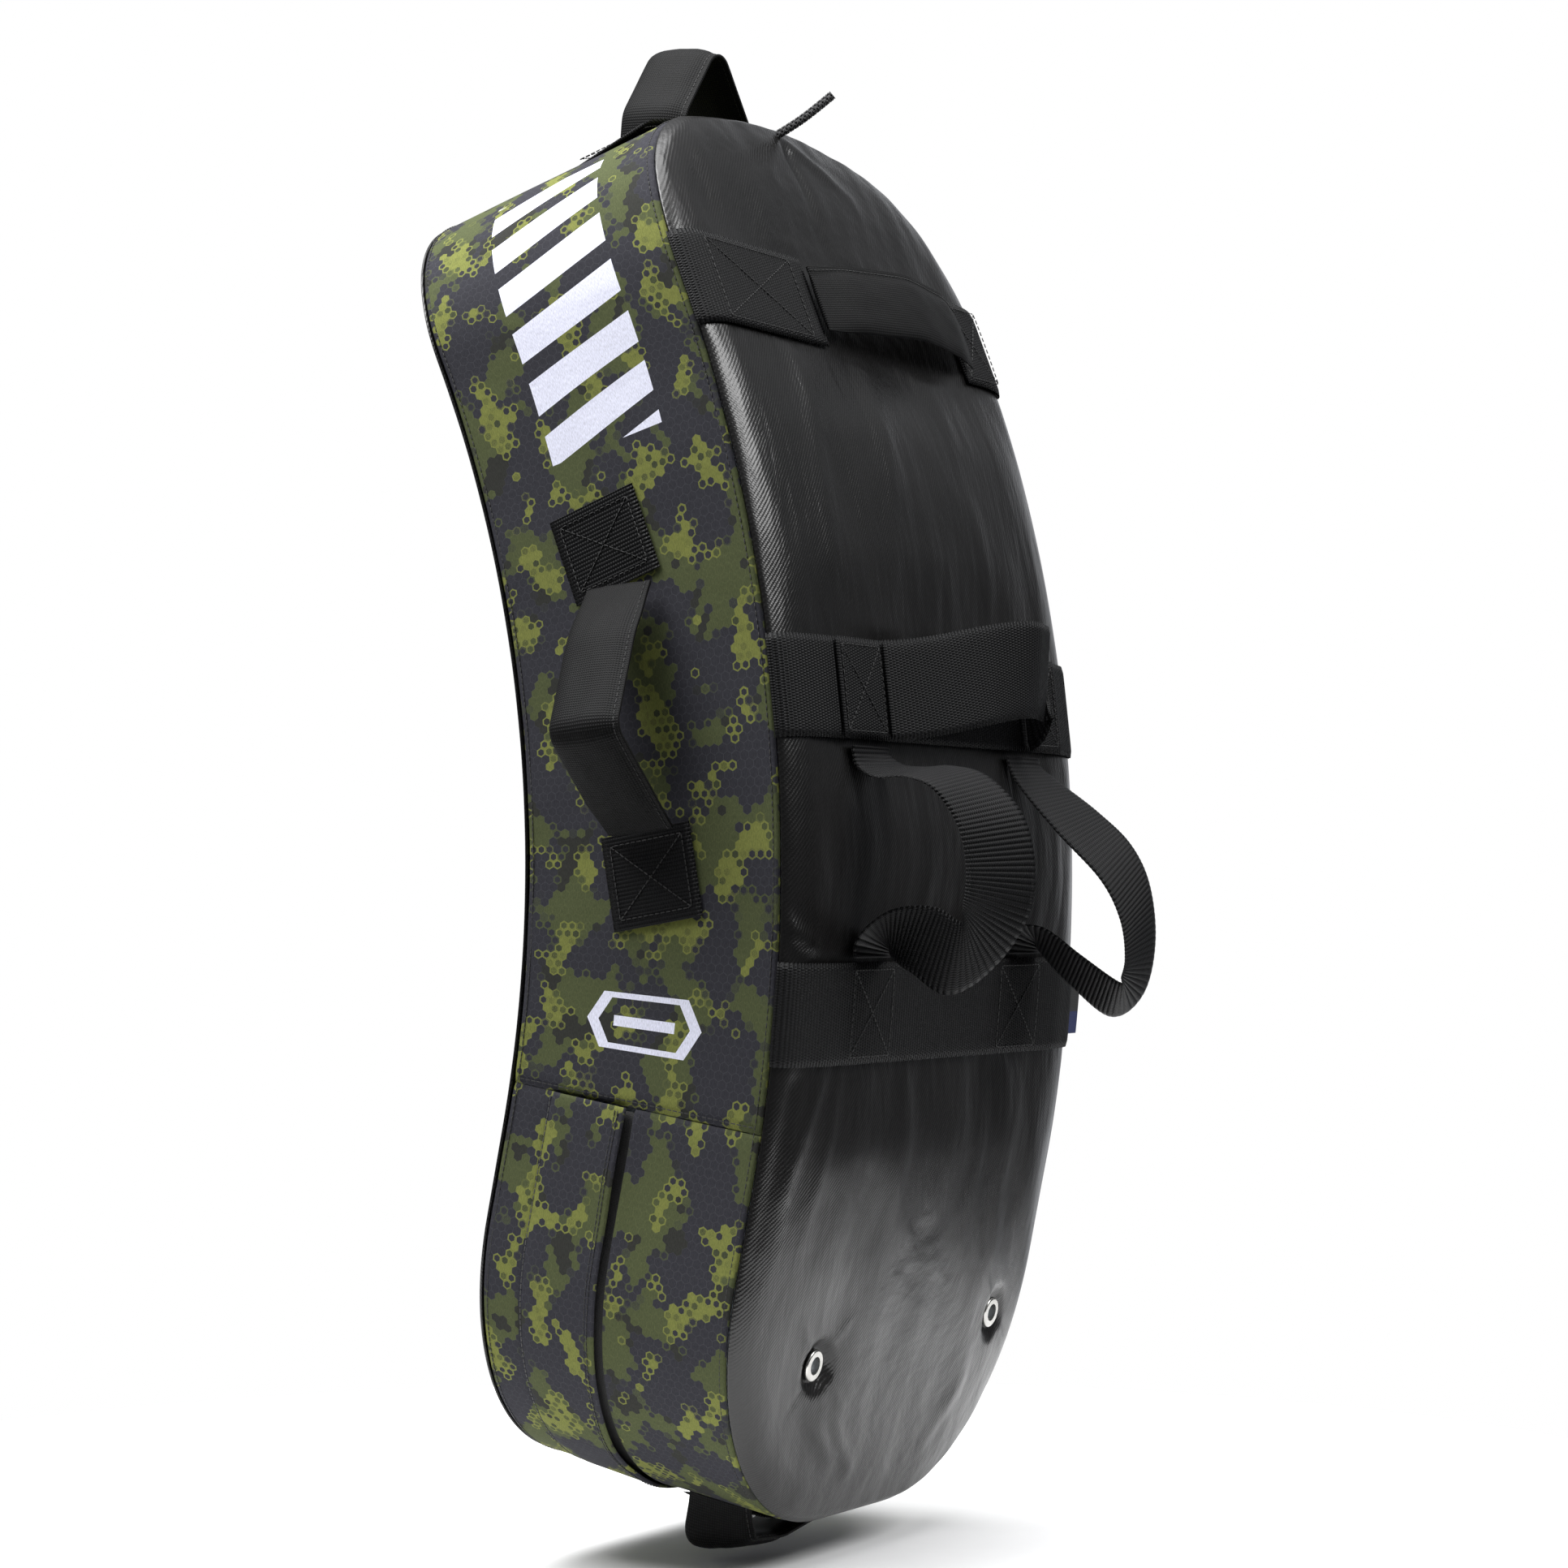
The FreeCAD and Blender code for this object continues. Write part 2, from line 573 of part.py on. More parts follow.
def webbing_loops():
    pieces = {}
    across = {
        "upper_handle": (UPPER_PATH, UPPER_BENDS, PAD_WIDTH, UPPER_PAD_THICK, UPPER_FOOT,
                         back_across(STRAP_UPPER), True),
        "forearm_loop": (FOREARM_PATH, FOREARM_BENDS, WEBBING, WEB_THICK, WEB_FOOT,
                         back_across(STRAP_FOREARM)),
        "grip_left": (GRIP_LEFT_PATH, GRIP_LEFT_BENDS, GRIP_WEBBING, WEB_THICK, WEB_FOOT,
                      back_upright(GRIP_X)),
        "grip_right": (GRIP_RIGHT_PATH, GRIP_RIGHT_BENDS, GRIP_WEBBING, WEB_THICK, WEB_FOOT,
                       back_upright(-GRIP_X)),
        "side_handle_left": (SIDE_PATH, SIDE_BENDS, PAD_WIDTH, PAD_THICK, SIDE_FOOT,
                             side_upright(1, SIDE_HANDLE_S, SIDE_HANDLE_N), True),
        "side_handle_right": (SIDE_PATH, SIDE_BENDS, PAD_WIDTH, PAD_THICK, SIDE_FOOT,
                              side_upright(-1, SIDE_HANDLE_S, SIDE_HANDLE_N), True),
        "top_handle": (TOP_PATH, TOP_BENDS, PAD_WIDTH, PAD_THICK, TOP_FOOT,
                       end_across(TOP_FOOT_S, END_HANDLE_N, 1, TOP_LEAN), True),
        "bottom_handle": (BOTTOM_PATH, BOTTOM_BENDS, PAD_WIDTH, PAD_THICK, BOTTOM_FOOT,
                          end_across(BOTTOM, END_HANDLE_N, -1, 0.0), True),
    }
    for name, made in across.items():
        for ending, shape in loop(*made).items():
            pieces[name + ending] = shape
    trim_feet(pieces, "top_handle_ends")
    trim_feet(pieces, "bottom_handle_ends")
    return pieces


def grip_tails(x):
    """The grip's two ends, sewn down under the forearm strap and under the lower strap."""
    x_low, x_high = x - GRIP_WEBBING / 2, x + GRIP_WEBBING / 2
    n_low = FACE_N + GAP
    foot = TAIL_HIGH_END[0 if x > 0 else 1]
    low = slab(STRAP_LOWER - TAIL_REACH, TAIL_LOW_END, n_low, n_low + WEB_THICK, x_low, x_high)
    high = slab(foot, STRAP_FOREARM + TAIL_REACH, n_low, n_low + WEB_THICK, x_low, x_high)
    return Part.makeCompound([low, high])


# ---- fittings -----------------------------------------------------------------------------------------

def disc(x, s, radius, n_low, n_high):
    return Part.makeCylinder(radius, n_high - n_low, place(s, n_low, x), outward(s))


def eyelet(x, s):
    rim = disc(x, s, EYELET_RIM, FACE_N + EYELET_LIFT, FACE_N + EYELET_TOP)
    upper_edge = [edge for edge in rim.Edges if edge_height(edge, s) > FACE_N + EYELET_TOP - 0.1]
    rim = rim.makeFillet(1.0, upper_edge)
    barrel = disc(x, s, EYELET_BORE + EYELET_WALL, FACE_N - EYELET_BARREL, FACE_N + 1.0)
    hole = disc(x, s, EYELET_BORE, FACE_N - 2 * POCKET_DEPTH, FACE_N + 2 * POCKET_DEPTH)
    return rim.fuse(barrel).cut(hole).removeSplitter()


def edge_height(edge, s):
    return (edge.CenterOfMass - place(s, 0)).dot(outward(s))


def eyelet_washer(x, s):
    top, bottom = WASHER_DEPTHS
    washer = disc(x, s, EYELET_RIM, FACE_N - bottom, FACE_N - top)
    bore = EYELET_BORE + EYELET_WALL + EYELET_LIFT
    return washer.cut(disc(x, s, bore, FACE_N - 2 * POCKET_DEPTH, FACE_N + 2 * POCKET_DEPTH))


def label_block(x_low, x_high):
    half = LABEL_LENGTH / 2
    low = SEAM_N - LABEL_THICK / 2
    return slab(LABEL_S - half, LABEL_S + half, low, low + LABEL_THICK, x_low, x_high)


def label_root():
    return label_block(-HALF - LABEL_FOLD, -HALF - 0.2)


def label_tag():
    return label_block(-HALF - LABEL_FOLD - LABEL_REACH, -HALF - LABEL_FOLD - LABEL_HINGE_GAP)


def cord_end():
    """The stiff end of a braided drawcord: a round tube along straight runs and tangent arcs."""
    points = [FreeCAD.Vector(*point) for point in CORD_ROUTE]
    edges = []
    here = points[0]
    for before, corner, after in zip(points, points[1:], points[2:]):
        arriving = (corner - before).normalize()
        leaving = (after - corner).normalize()
        half_turn = arriving.getAngle(leaving) / 2
        trim = 0.45 * min((corner - before).Length, (after - corner).Length)
        radius = trim / math.tan(half_turn)
        start = corner - arriving * trim
        end = corner + leaving * trim
        depth = radius / math.cos(half_turn) - radius
        middle = corner + (leaving - arriving).normalize() * depth
        edges.append(Part.LineSegment(here, start).toShape())
        edges.append(Part.Arc(start, middle, end).toShape())
        here = end
        print("cord bend radius %.1f mm" % radius)
    edges.append(Part.LineSegment(here, points[-1]).toShape())
    path = Part.Wire(edges)
    section = Part.Wire(Part.makeCircle(CORD_RADIUS, points[0], points[1] - points[0]))
    tube = path.makePipeShell([section], True, True)
    print("cord length %.1f mm, volume ratio %.4f"
          % (path.Length, tube.Volume / (math.pi * CORD_RADIUS ** 2 * path.Length)))
    return tube


# ---- all nodes ----------------------------------------------------------------------------------------

def build():
    nodes = {
        "foam_rear_layer": foam_face(1),
        "foam_strike_layer": foam_face(-1),
        "foam_middle_block": foam_middle(),
        "rear_panel": face_panel(1),
        "strike_panel": face_panel(-1),
        "gusset_upper": gusset_upper(),
        "gusset_lower_front": gusset_lower(-SEAM_N + GAP, ZIP_SLOT_FRONT),
        "gusset_lower_rear": gusset_lower(ZIP_SLOT_REAR, SEAM_N - GAP),
        "zipper_flap": zipper_flap(),
        "zipper_tape_front": zipper_tape(-1),
        "zipper_tape_rear": zipper_tape(1),
        "zipper_coil_front": zipper_coil(-1),
        "zipper_coil_rear": zipper_coil(1),
        "zipper_stops": zipper_stops(),
        "zipper_slider": zipper_slider(),
        "zipper_pull": zipper_pull(),
        "upper_handle_tabs": Part.makeCompound([
            strap(STRAP_UPPER, UPPER_TAB_INNER[0], FAR, GAP),
            strap(STRAP_UPPER, -FAR, UPPER_TAB_INNER[1], GAP)]),
        "forearm_strap": strap(STRAP_FOREARM, -FAR, FAR, 2 * GAP + WEB_THICK),
        "forearm_loop_tabs": Part.makeCompound([
            flat_web(STRAP_FOREARM, WEBBING, x_low, x_high, 3 * GAP + 2 * WEB_THICK)
            for x_low, x_high in FOREARM_TABS]),
        "lower_strap": strap(STRAP_LOWER, -FAR, FAR, 2 * GAP + WEB_THICK),
        "grip_left_tails": grip_tails(GRIP_X),
        "grip_right_tails": grip_tails(-GRIP_X),
        "top_handle_tabs": end_tabs(*TOP_TABS, TOP - 60, TOP + 10),
        "bottom_handle_tabs": end_tabs(*BOTTOM_TABS, BOTTOM - 10, BOTTOM + 40),
        "eyelets": Part.makeCompound([eyelet(x, s) for x, s in EYELET_PLACES]),
        "eyelet_washers": Part.makeCompound([eyelet_washer(x, s) for x, s in EYELET_PLACES]),
        "label_root": label_root(),
        "label_tag": label_tag(),
        "cord_end": cord_end(),
    }
    for side, name in ((1, "side_handle_left_tabs"), (-1, "side_handle_right_tabs")):
        nodes[name] = Part.makeCompound([side_tab(side, *tab) for tab in SIDE_TABS])
    nodes.update(webbing_loops())
    return nodes


def main():
    os.makedirs("parts", exist_ok=True)
    for name, shape in sorted(build().items()):
        if not shape.isValid() or shape.Volume <= 0:
            print("BAD SHAPE", name, shape.Volume)
        shape.exportStep("parts/" + name + ".step")
        box = shape.BoundBox
        print("%-24s %2d solids %10.1f mm3  z %.0f to %.0f" % (
            name, len(shape.Solids), shape.Volume, box.ZMin, box.ZMax))


main()
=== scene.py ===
"""Looks of the curved strike shield, built round its CAD frame.

Lengths are in millimetres until a mesh is made.
"""
import math

import bpy
import numpy as np
from mathutils import Matrix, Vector
from mathutils.geometry import delaunay_2d_cdt


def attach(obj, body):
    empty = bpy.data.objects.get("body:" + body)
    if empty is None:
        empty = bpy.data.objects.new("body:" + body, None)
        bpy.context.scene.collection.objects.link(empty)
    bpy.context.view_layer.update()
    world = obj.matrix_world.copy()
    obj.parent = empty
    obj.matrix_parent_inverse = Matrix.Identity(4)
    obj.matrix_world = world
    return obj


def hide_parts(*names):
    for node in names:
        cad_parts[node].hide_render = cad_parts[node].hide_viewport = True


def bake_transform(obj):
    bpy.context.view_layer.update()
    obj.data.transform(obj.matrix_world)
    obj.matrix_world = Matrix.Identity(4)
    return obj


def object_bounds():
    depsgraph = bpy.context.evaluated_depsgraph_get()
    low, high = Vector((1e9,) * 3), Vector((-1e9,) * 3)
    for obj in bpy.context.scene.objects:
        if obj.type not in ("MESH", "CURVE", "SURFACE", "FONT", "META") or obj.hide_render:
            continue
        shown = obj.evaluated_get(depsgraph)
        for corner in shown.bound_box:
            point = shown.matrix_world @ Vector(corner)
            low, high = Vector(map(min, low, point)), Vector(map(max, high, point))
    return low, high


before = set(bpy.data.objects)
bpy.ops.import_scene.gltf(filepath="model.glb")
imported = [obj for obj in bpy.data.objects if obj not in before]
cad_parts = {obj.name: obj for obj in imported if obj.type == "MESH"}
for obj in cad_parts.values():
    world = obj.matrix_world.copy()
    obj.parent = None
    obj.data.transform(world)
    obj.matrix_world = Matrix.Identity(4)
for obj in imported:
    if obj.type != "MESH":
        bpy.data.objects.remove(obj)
CAD_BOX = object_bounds()

# ---- driving dimensions, the same as the CAD source's --------------------------------------------------

HALF = 167.0
SEAM_N = 70.0
FACE_N = 78.0
BEND_RADIUS = 710.0
CENTRE_Y = -FACE_N - BEND_RADIUS
BEND_LOW, BEND_HIGH = -148.0, 316.0
BOTTOM, TOP = -326.0, 373.0
TOP_SLOPE = 0.13
TOP_ARC, TOP_CORNER = 446.0, 95.0
BOTTOM_CORNER = 130.0
CLOTH = 1.2
GAP = 0.3

WEBBING = 50.0
GRIP_WEBBING = 42.0
WEB_THICK = 1.6
STRAP_UPPER, STRAP_FOREARM, STRAP_LOWER = 256.0, 71.0, -71.0
PAD_WIDTH = 38.0
PAD_THICK = 8.0
UPPER_PAD_THICK = 6.0

GUSSET_SEAM = -124.0
END_HANDLE_N = 34.0
ZIP_N = -11.6
ZIP_SLOT_FRONT, ZIP_SLOT_REAR = -20.0, 0.5
ZIP_TAPE_OUT = 18.0
FLAP_SEAM_N, FLAP_EDGE_N = -48.0, -3.5
FLAP_END = -206.0
EYELET_PLACES = ((85.0, -239.0), (-114.0, -230.0))
EYELET_HOLE = 5.7
LABEL_S = -74.0

# ---- details that only show here -----------------------------------------------------------------------

ROLL_NEAR, ROLL_FAR, ROLL_STRIKE = 22.0, 40.0, 46.0   # widths of the soft rolled edges of the two faces
CROWN = 3.5                  # how far the rear face swells between its straps
TUCK = 1.9                   # how far the cloth turns in at a seam
RIB_PITCH = 2.5              # of the nylon webbing
RIB_DEPTH = 0.42
STITCH_PITCH = 3.2
STITCH_RADIUS = 0.3
HEX_CELL = 4.6               # flat to flat, of the printed hexagons
PRINT_REACH = (131.0, 293.0)  # the printed bars, as distances from the top centre round the edge
PRINT_N = (-27.0, 37.0)
BADGE_S = -83.0
BADGE_N = 0.0

X_AXIS = np.array([1.0, 0.0, 0.0])


# ---- the bent frame ------------------------------------------------------------------------------------

def bend_angle(s):
    return np.clip(s, BEND_LOW, BEND_HIGH) / BEND_RADIUS


def place(s, n, x=0.0):
    """Points at stations s, heights n from the middle surface and distances x from the middle plane."""
    s, n, x = np.broadcast_arrays(np.asarray(s, float), n, x)
    angle = bend_angle(s)
    radius = BEND_RADIUS + n
    beyond = s - angle * BEND_RADIUS
    y = CENTRE_Y + radius * np.cos(angle) - beyond * np.sin(angle)
    z = radius * np.sin(angle) + beyond * np.cos(angle)
    return np.stack([x, y, z], axis=-1)


def along(s):
    angle = bend_angle(np.asarray(s, float))
    return np.stack([np.zeros_like(angle), -np.sin(angle), np.cos(angle)], axis=-1)


def outward(s):
    angle = bend_angle(np.asarray(s, float))
    return np.stack([np.zeros_like(angle), np.cos(angle), np.sin(angle)], axis=-1)


def outline():
    """The body's outline as points (x, s), from the top centre down the +X side and round to the top."""
    corner_x, crown_s = HALF - TOP_CORNER, TOP - TOP_ARC
    reach = TOP_ARC - TOP_CORNER
    tilt = math.asin(corner_x / reach)
    turn = np.linspace(0, tilt, 300)
    crown = np.stack([TOP_ARC * np.sin(turn), crown_s + TOP_ARC * np.cos(turn)], axis=1)
    turn = np.linspace(tilt, math.pi / 2, 300)
    centre_s = crown_s + reach * math.cos(tilt)
    dome = np.stack([corner_x + TOP_CORNER * np.sin(turn), centre_s + TOP_CORNER * np.cos(turn)], axis=1)
    flat = HALF - BOTTOM_CORNER
    corner_s = BOTTOM + BOTTOM_CORNER
    turn = np.linspace(0, -math.pi / 2, 300)
    corner = np.stack([flat + BOTTOM_CORNER * np.cos(turn), corner_s + BOTTOM_CORNER * np.sin(turn)], axis=1)
    right = np.concatenate([crown, dome[1:], corner, [[0.0, BOTTOM]]])
    left = right[-2::-1] * [-1, 1]
    return np.concatenate([right, left])


OUTLINE = outline()
OUTLINE_T = np.concatenate([[0.0], np.cumsum(np.linalg.norm(np.diff(OUTLINE, axis=0), axis=1))])
RIM_LENGTH = OUTLINE_T[-1]


def rim(t):
    """Outline points x, s and outward directions (nx, ns) at distances t from the top centre."""
    t = np.mod(np.asarray(t, float), RIM_LENGTH)
    x = np.interp(t, OUTLINE_T, OUTLINE[:, 0])
    s = np.interp(t, OUTLINE_T, OUTLINE[:, 1])
    ahead, behind = np.mod(t + 2.0, RIM_LENGTH), np.mod(t - 2.0, RIM_LENGTH)
    dx = np.interp(ahead, OUTLINE_T, OUTLINE[:, 0]) - np.interp(behind, OUTLINE_T, OUTLINE[:, 0])
    ds = np.interp(ahead, OUTLINE_T, OUTLINE[:, 1]) - np.interp(behind, OUTLINE_T, OUTLINE[:, 1])
    size = np.hypot(dx, ds)
    return x, s, -ds / size, dx / size


def sloped(s, n):
    """Stations moved so that the top of the body slopes down towards the rear."""
    return s - TOP_SLOPE * n * smooth((s - 200.0) / 60.0)


def rim_place(t, n, rise=0.0):
    """Points on the edge band of the body, raised above its outline."""
    x, s, nx, ns = rim(t)
    return place(sloped(s + ns * rise, n), n, x + nx * rise)


def rim_normal(t):
    x, s, nx, ns = rim(t)
    return nx[..., None] * X_AXIS + ns[..., None] * along(s)


def rim_at(s):
    """Distance from the top centre of station s on the +X side."""
    half = len(OUTLINE) // 2
    return float(np.interp(-s, -OUTLINE[:half, 1], OUTLINE_T[:half]))


# ---- mesh tools ----------------------------------------------------------------------------------------

class Patch:
    """Points, faces, pattern coordinates for the material, and which of its materials each face takes."""

    def __init__(self, points, faces, pattern, finish=0):
        self.points = np.asarray(points, float).reshape(-1, 3)
        self.faces = faces
        self.pattern = np.asarray(pattern, float).reshape(-1, 3)
        self.finish = [finish] * len(faces)


def merge(patches):
    points = np.concatenate([patch.points for patch in patches])
    pattern = np.concatenate([patch.pattern for patch in patches])
    faces = []
    finish = []
    first = 0
    for patch in patches:
        faces += [tuple(index + first for index in face) for face in patch.faces]
        finish += patch.finish
        first += len(patch.points)
    merged = Patch(points, faces, pattern)
    merged.finish = finish
    return merged


def grid_faces(rows, columns, closed=False):
    """Quads of a grid listed row by row. A closed grid joins its last column to its first."""
    row = np.arange(rows - 1)[:, None] * columns
    column = np.arange(columns if closed else columns - 1)[None, :]
    after = (column + 1) % columns
    corners = [row + column, row + columns + column, row + columns + after, row + after]
    return list(map(tuple, np.stack([c.ravel() for c in corners], axis=1).tolist()))


def unit(vectors):
    return vectors / np.maximum(np.linalg.norm(vectors, axis=-1, keepdims=True), 1e-9)


def resample(points, step):
    """Even points along a polyline and their distances from its start."""
    points = np.asarray(points, float)
    reach = np.concatenate([[0.0], np.cumsum(np.linalg.norm(np.diff(points, axis=0), axis=1))])
    count = max(2, int(round(reach[-1] / step)) + 1)
    distance = np.linspace(0.0, reach[-1], count)
    return np.stack([np.interp(distance, reach, column) for column in points.T], axis=1), distance


def rounded(corners, radii, step=1.0):
    """A polyline with its inner corners rounded by arcs of the given radii."""
    corners = np.asarray(corners, float)
    points = [corners[0]]
    for i, radius in enumerate(radii, start=1):
        before = unit(corners[i] - corners[i - 1])
        after = unit(corners[i + 1] - corners[i])
        turn = math.acos(np.clip(before @ after, -1, 1))
        trim = radius * math.tan(turn / 2)
        centre = corners[i] + unit(after - before) * radius / math.cos(turn / 2)
        start = corners[i] - before * trim - centre
        end = corners[i] + after * trim - centre
        count = max(2, int(radius * turn / step))
        for k in range(count + 1):
            angle = turn * k / count
            points.append(centre + (start * math.sin(turn - angle) + end * math.sin(angle)) / math.sin(turn))
    points.append(corners[-1])
    return np.array(points)


def smooth(values):
    values = np.clip(values, 0.0, 1.0)
    return values * values * (3 - 2 * values)


def ripple(a, b, size, seed):
    """Smooth, repeatable unevenness between about -1 and 1, with hollows size apart."""
    chance = np.random.default_rng(seed)
    total = 0.0
    for _ in range(7):
        direction = chance.uniform(0, math.pi)
        length = size * chance.uniform(0.7, 1.8)
        phase = chance.uniform(0, 2 * math.pi)
        across = a * math.cos(direction) + b * math.sin(direction)
        total = total + np.sin(across * 2 * math.pi / length + phase)
    return total / 3.5


def loft(rings, pattern, finish=0):
    """A closed solid through rings of points."""
    rows, columns = rings.shape[:2]
    faces = grid_faces(rows, columns, closed=True)
    faces.append(tuple(range(columns)))
    faces.append(tuple((rows - 1) * columns + i for i in reversed(range(columns))))
    return Patch(rings, faces, pattern, finish)


def make_object(name, patch, materials):
    mesh = bpy.data.meshes.new(name)
    mesh.from_pydata((patch.points / 1000).tolist(), [], patch.faces)
    mesh.attributes.new("cloth", "FLOAT_VECTOR", "POINT").data.foreach_set("vector", patch.pattern.ravel())
    mesh.polygons.foreach_set("material_index", patch.finish)
    for material in materials:
        mesh.materials.append(material)
    mesh.shade_smooth()
    mesh.update()
    obj = bpy.data.objects.new(name, mesh)
    bpy.context.scene.collection.objects.link(obj)
    return obj


def piece(name, patch, materials, nodes=(), body="root"):
    """A finished piece: its mesh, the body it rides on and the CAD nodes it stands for."""
    obj = make_object(name, patch, materials)
    if body:
        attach(obj, body)
    if nodes:
        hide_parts(*nodes)
    return obj


def thicken(obj, thickness):
    """Gives a sheet its thickness, inwards from the side its faces look to."""
    modifier = obj.modifiers.new("thickness", "SOLIDIFY")
    modifier.thickness = thickness / 1000
    modifier.offset = -1.0
    modifier.use_even_offset = False
    return obj


def subdivide(obj, levels=1):
    modifier = obj.modifiers.new("subdivision", "SUBSURF")
    modifier.levels = levels
    modifier.render_levels = levels
    return obj


def mesh_points(mesh):
    points = np.empty(len(mesh.vertices) * 3)
    mesh.vertices.foreach_get("co", points)
    return points.reshape(-1, 3) * 1000


# ---- materials -----------------------------------------------------------------------------------------

class Shader:
    """Builds one material's node tree."""

    def __init__(self, name):
        self.material = bpy.data.materials.new(name)
        self.material.use_nodes = True
        self.tree = self.material.node_tree
        self.tree.nodes.clear()
        self.surface = self.add("BsdfPrincipled")
        self.add("OutputMaterial", self.surface.outputs[0])
        self.pattern = self.add("Attribute", attribute_name="cloth").outputs["Vector"]

    def add(self, kind, *values, **settings):
        node = self.tree.nodes.new("ShaderNode" + kind)
        for key, value in settings.items():
            setattr(node, key, value)
        for socket, value in zip(node.inputs, values):
            self.feed(socket, value)
        return node

    def feed(self, socket, value):
        if isinstance(value, bpy.types.NodeSocket):
            self.tree.links.new(value, socket)
        elif value is not None:
            socket.default_value = value

    def math(self, operation, a, b=None, c=None):
        return self.add("Math", a, b, c, operation=operation).outputs[0]

    def times(self, a, b):
        return self.math("MULTIPLY", a, b)

    def times_plus(self, a, b, c):
        return self.math("MULTIPLY_ADD", a, b, c)

    def above(self, a, b):
        return self.math("GREATER_THAN", a, b)

    def below(self, a, b):
        return self.math("LESS_THAN", a, b)

    def larger(self, a, b):
        return self.math("MAXIMUM", a, b)

    def vector(self, operation, a, b=None):
        return self.add("VectorMath", a, b, operation=operation).outputs[0]

    def split(self, vector):
        return self.add("SeparateXYZ", vector).outputs

    def join(self, x, y, z):
        return self.add("CombineXYZ", x, y, z).outputs[0]

    def mix(self, factor, a, b):
        node = self.add("Mix", data_type="RGBA")
        for socket, value in ((node.inputs[0], factor), (node.inputs[6], a), (node.inputs[7], b)):
            self.feed(socket, value)
        return node.outputs[2]

    def noise(self, vector, scale, detail=2.0):
        node = self.add("TexNoise")
        for name, value in (("Vector", vector), ("Scale", scale), ("Detail", detail)):
            self.feed(node.inputs[name], value)
        return node.outputs[0]

    def ramp(self, value, low, high):
        """0 below low, 1 above high, smooth between. It falls where low is above high."""
        node = self.add("MapRange", value, min(low, high), max(low, high), interpolation_type="SMOOTHSTEP")
        if low > high:
            node.inputs[3].default_value = 1.0
            node.inputs[4].default_value = 0.0
        return node.outputs[0]

    def wave(self, value, length):
        """A sine of the given wavelength, from 0 to 1."""
        turned = self.math("SINE", self.times(value, 2 * math.pi / length))
        return self.times_plus(turned, 0.5, 0.5)

    def bump(self, height, depth, strength=1.0):
        """Relief of the given depth in millimetres."""
        node = self.add("Bump")
        node.inputs["Strength"].default_value = strength
        node.inputs["Distance"].default_value = depth / 1000
        self.feed(node.inputs["Height"], height)
        self.feed(self.surface.inputs["Normal"], node.outputs[0])

    def set(self, **values):
        for name, value in values.items():
            self.feed(self.surface.inputs[name.replace("_", " ")], value)
        return self


def grey(value, tint=(1.0, 1.0, 1.0)):
    return (value * tint[0], value * tint[1], value * tint[2], 1.0)


WARM = (1.0, 0.93, 0.9)
COOL = (0.96, 0.97, 1.06)


def vinyl():
    """Coated cloth embossed with a fine diagonal twill."""
    m = Shader("vinyl")
    x, s, _ = m.split(m.pattern)
    diagonal = m.times_plus(x, 0.72, m.times(s, 0.69))
    counter = m.times_plus(x, 0.69, m.times(s, -0.72))
    twill = m.times(m.wave(diagonal, 1.7), m.times_plus(m.wave(counter, 1.1), 0.45, 0.55))
    grain = m.noise(m.pattern, 0.9, 3.0)
    creases = m.noise(m.vector("MULTIPLY", m.pattern, (0.05, 0.022, 0.05)), 1.0, 3.0)
    height = m.times_plus(grain, 0.5, m.times(twill, 0.6))
    height = m.times_plus(creases, 9.0, height)
    m.bump(height, 0.16, 0.9)
    worn = m.noise(m.pattern, 0.012, 4.0)
    m.set(Base_Color=m.mix(m.ramp(worn, 0.35, 0.75), grey(0.004, WARM), grey(0.006, WARM)))
    m.set(Roughness=m.times_plus(worn, 0.05, 0.27))
    m.feed(m.surface.inputs["Specular IOR Level"], 0.5)
    return m.material


# Colours of the print: the ground, then the two colours of patches, with their lines and pierced cells.
GROUND, GROUND_LINE = grey(0.030, (1.0, 1.0, 1.22)), grey(0.075, (1.0, 1.0, 1.15))
OLIVE, OLIVE_LINE = (0.066, 0.077, 0.034, 1), (0.088, 0.103, 0.044, 1)
OLIVE_DARK = grey(0.028, (1.0, 1.02, 0.9))
LIME, LIME_LINE = (0.158, 0.172, 0.046, 1), (0.10, 0.112, 0.034, 1)
LIME_DARK = (0.045, 0.052, 0.028, 1)
PRINT_WHITE = (0.70, 0.71, 0.83, 1)

# Noise above which a cell belongs to a patch, and above which it may be an open ring at the patch's edge.
OLIVE_FROM, OLIVE_EDGE = 0.540, 0.505
LIME_FROM, LIME_EDGE = 0.600, 0.560
OLIVE_SPREAD, LIME_SPREAD, DARK_SPREAD = (0.150, 0.108, 0.0), (0.250, 0.155, 0.0), (0.21, 0.155, 0.0)

BAR_PITCH, BAR_SHARE, BAR_SLANT = 27.0, 0.62, 0.28
BADGE_HALF_LENGTH, BADGE_HALF_HEIGHT, BADGE_INSIDE = 32.0, 14.0, 0.80
BADGE_BAR_HALF_LENGTH, BADGE_BAR_HALF_HEIGHT = 17.0, 2.6


